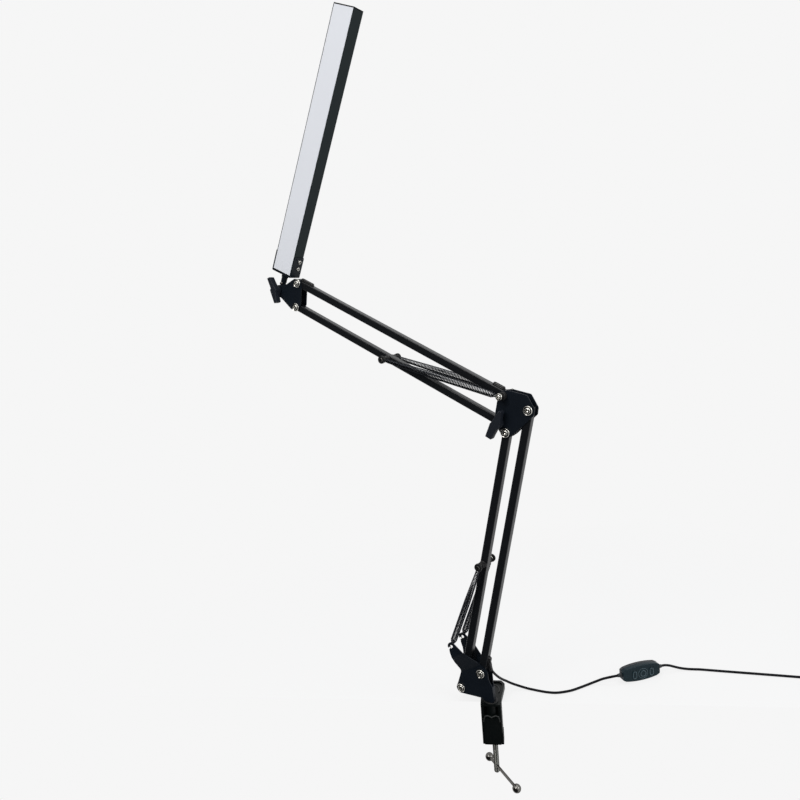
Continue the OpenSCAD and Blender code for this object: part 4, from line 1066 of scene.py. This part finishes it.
def makeController(c=controller):
    shape, high, split = barrelOutline(c), c["high"], c["split"]

    def shell(*steps):
        return loft([[(x * (1 - 2 * inset / c["long"]), y * (1 - 2 * inset / c["wide"]), z) for x, y in shape]
                     for inset, z in steps])

    rear = shell((1.6, 0.02), (0.7, 0.2), (0.15, 0.8), (0, 1.6), (0, split - 0.25), (0.3, split))
    front = shell((0.3, split + 0.02), (0, split + 0.25), (0, high - 1.2), (0.1, high - 0.6), (0.4, high - 0.2),
                  (0.8, high - 0.03), (1.2, high))
    sleeves = [(ringedSleeve(-1, 3.2, 2.25, 0.22), moved(side * c["long"] / 2, 0, high / 2) @ turned("Y", side * 90))
               for side in (-1, 1)]
    places = {key: controllerFrame @ moved(c["keys"][key][0], c["drop"], 0) for key in c["keys"]}
    holes = [(loft(keyRings(wide + 0.5, long + 0.5, high, (0, -1.2), (0, 2))), places[key])
             for key, (x, wide, long) in c["keys"].items()]
    pieces = [makePiece("controllerBase", joined(rear, *sleeves), controllerFrame, "base", "under",
                        ["controller_base"], smooth=40),
              makePiece("controllerTop", front, controllerFrame, "base", "shell", ["controller_top"], smooth=40,
                        carve=cutters("DIFFERENCE", *holes))]
    for key, (x, wide, long) in c["keys"].items():
        name, body = "key" + key.capitalize(), key + "_button"
        cap = keyRings(wide, long, high, (-1.4, -3.4), (-1.4, -1.8), (0, -1.8), (0, 0.2), (0.7, 0.6), (2, 0.78),
                       (3.2, 0.72), (6.4, 0.5))
        line = keyRings(wide - 1.8, long - (3 if long > wide else 1.8), high, (1.7, 0.4), (1.6, 0.8), (0.8, 0.95),
                        (0.1, 0.8), (0, 0.4))
        pieces.append(makePiece(name, loft(cap), places[key], body, "button", ["button_" + key], smooth=40))
        pieces.append(makePiece(name + "Line", loft(line, True), places[key], body, "rim"))
    ring = keyRings(c["ring"], c["ring"], high, (0, -0.3), (-0.1, 0.14), (-0.6, 0.3), (-1.2, 0.14), (-1.3, -0.3))
    pieces.append(makePiece("keyRing", loft(ring, True), places["power"], "base", "rim"))
    return pieces + [frame["nodes"]["controller_board"]]


def makePlug(s=plugLook):
    place = Matrix.Translation(coilPath()[-1]) @ turned("Z", -90)
    long, wide, high = s["long"], s["wide"], s["high"]

    def across(outline, x):
        return [(x, y, z) for y, z in outline]

    body = loft([across(boxOutline(wide - 2 * inset, high - 2 * inset, s["corner"], 4), x) for x, inset in (
        (5.8, 1.6), (6.2, 0.9), (7.4, 0.3), (9, 0), (12, 0), (12.6, 0.5), (13.4, 0.5), (14, 0), (16, 0), (16.6, 0.5),
        (17.4, 0.5), (18, 0), (long - 1, 0), (long, 0.4))])
    shape = joined(body, (ringedSleeve(-0.1, 2.2, 3.4, 0.2), turned("Y", 90)))
    outer, inner = boxOutline(12, 4.5, 0.5, 2), boxOutline(11.2, 3.7, 0.3, 2)
    shell = loft([across(outer, long), across(outer, long + 12), across(inner, long + 12), across(inner, long + 0.6)])
    ports = [(upright(boxOutline(2.2, 2.4, 0.2, 2), 1.4, 3), place @ moved(long + 5, y, 0)) for y in (-2.9, 2.9)]
    tongue = upright(boxOutline(10.4, 10.6, 0.3, 2), -1.7, 0.1)
    return [makePiece("plugBody", shape, place, "base", "under", ["usb_plug"], smooth=40),
            makePiece("plugShell", shell, place, "base", "nickel", ["usb_shell"], smooth=35,
                      carve=cutters("DIFFERENCE", *ports)),
            makePiece("plugTongue", tongue, place @ moved(long + 5.8, 0, 0), "base", "board", bevel=0.15)]


makeCord(makeController() + makePlug())
print("lamp: cord made")

bpy.context.scene.view_settings.view_transform = "Standard"
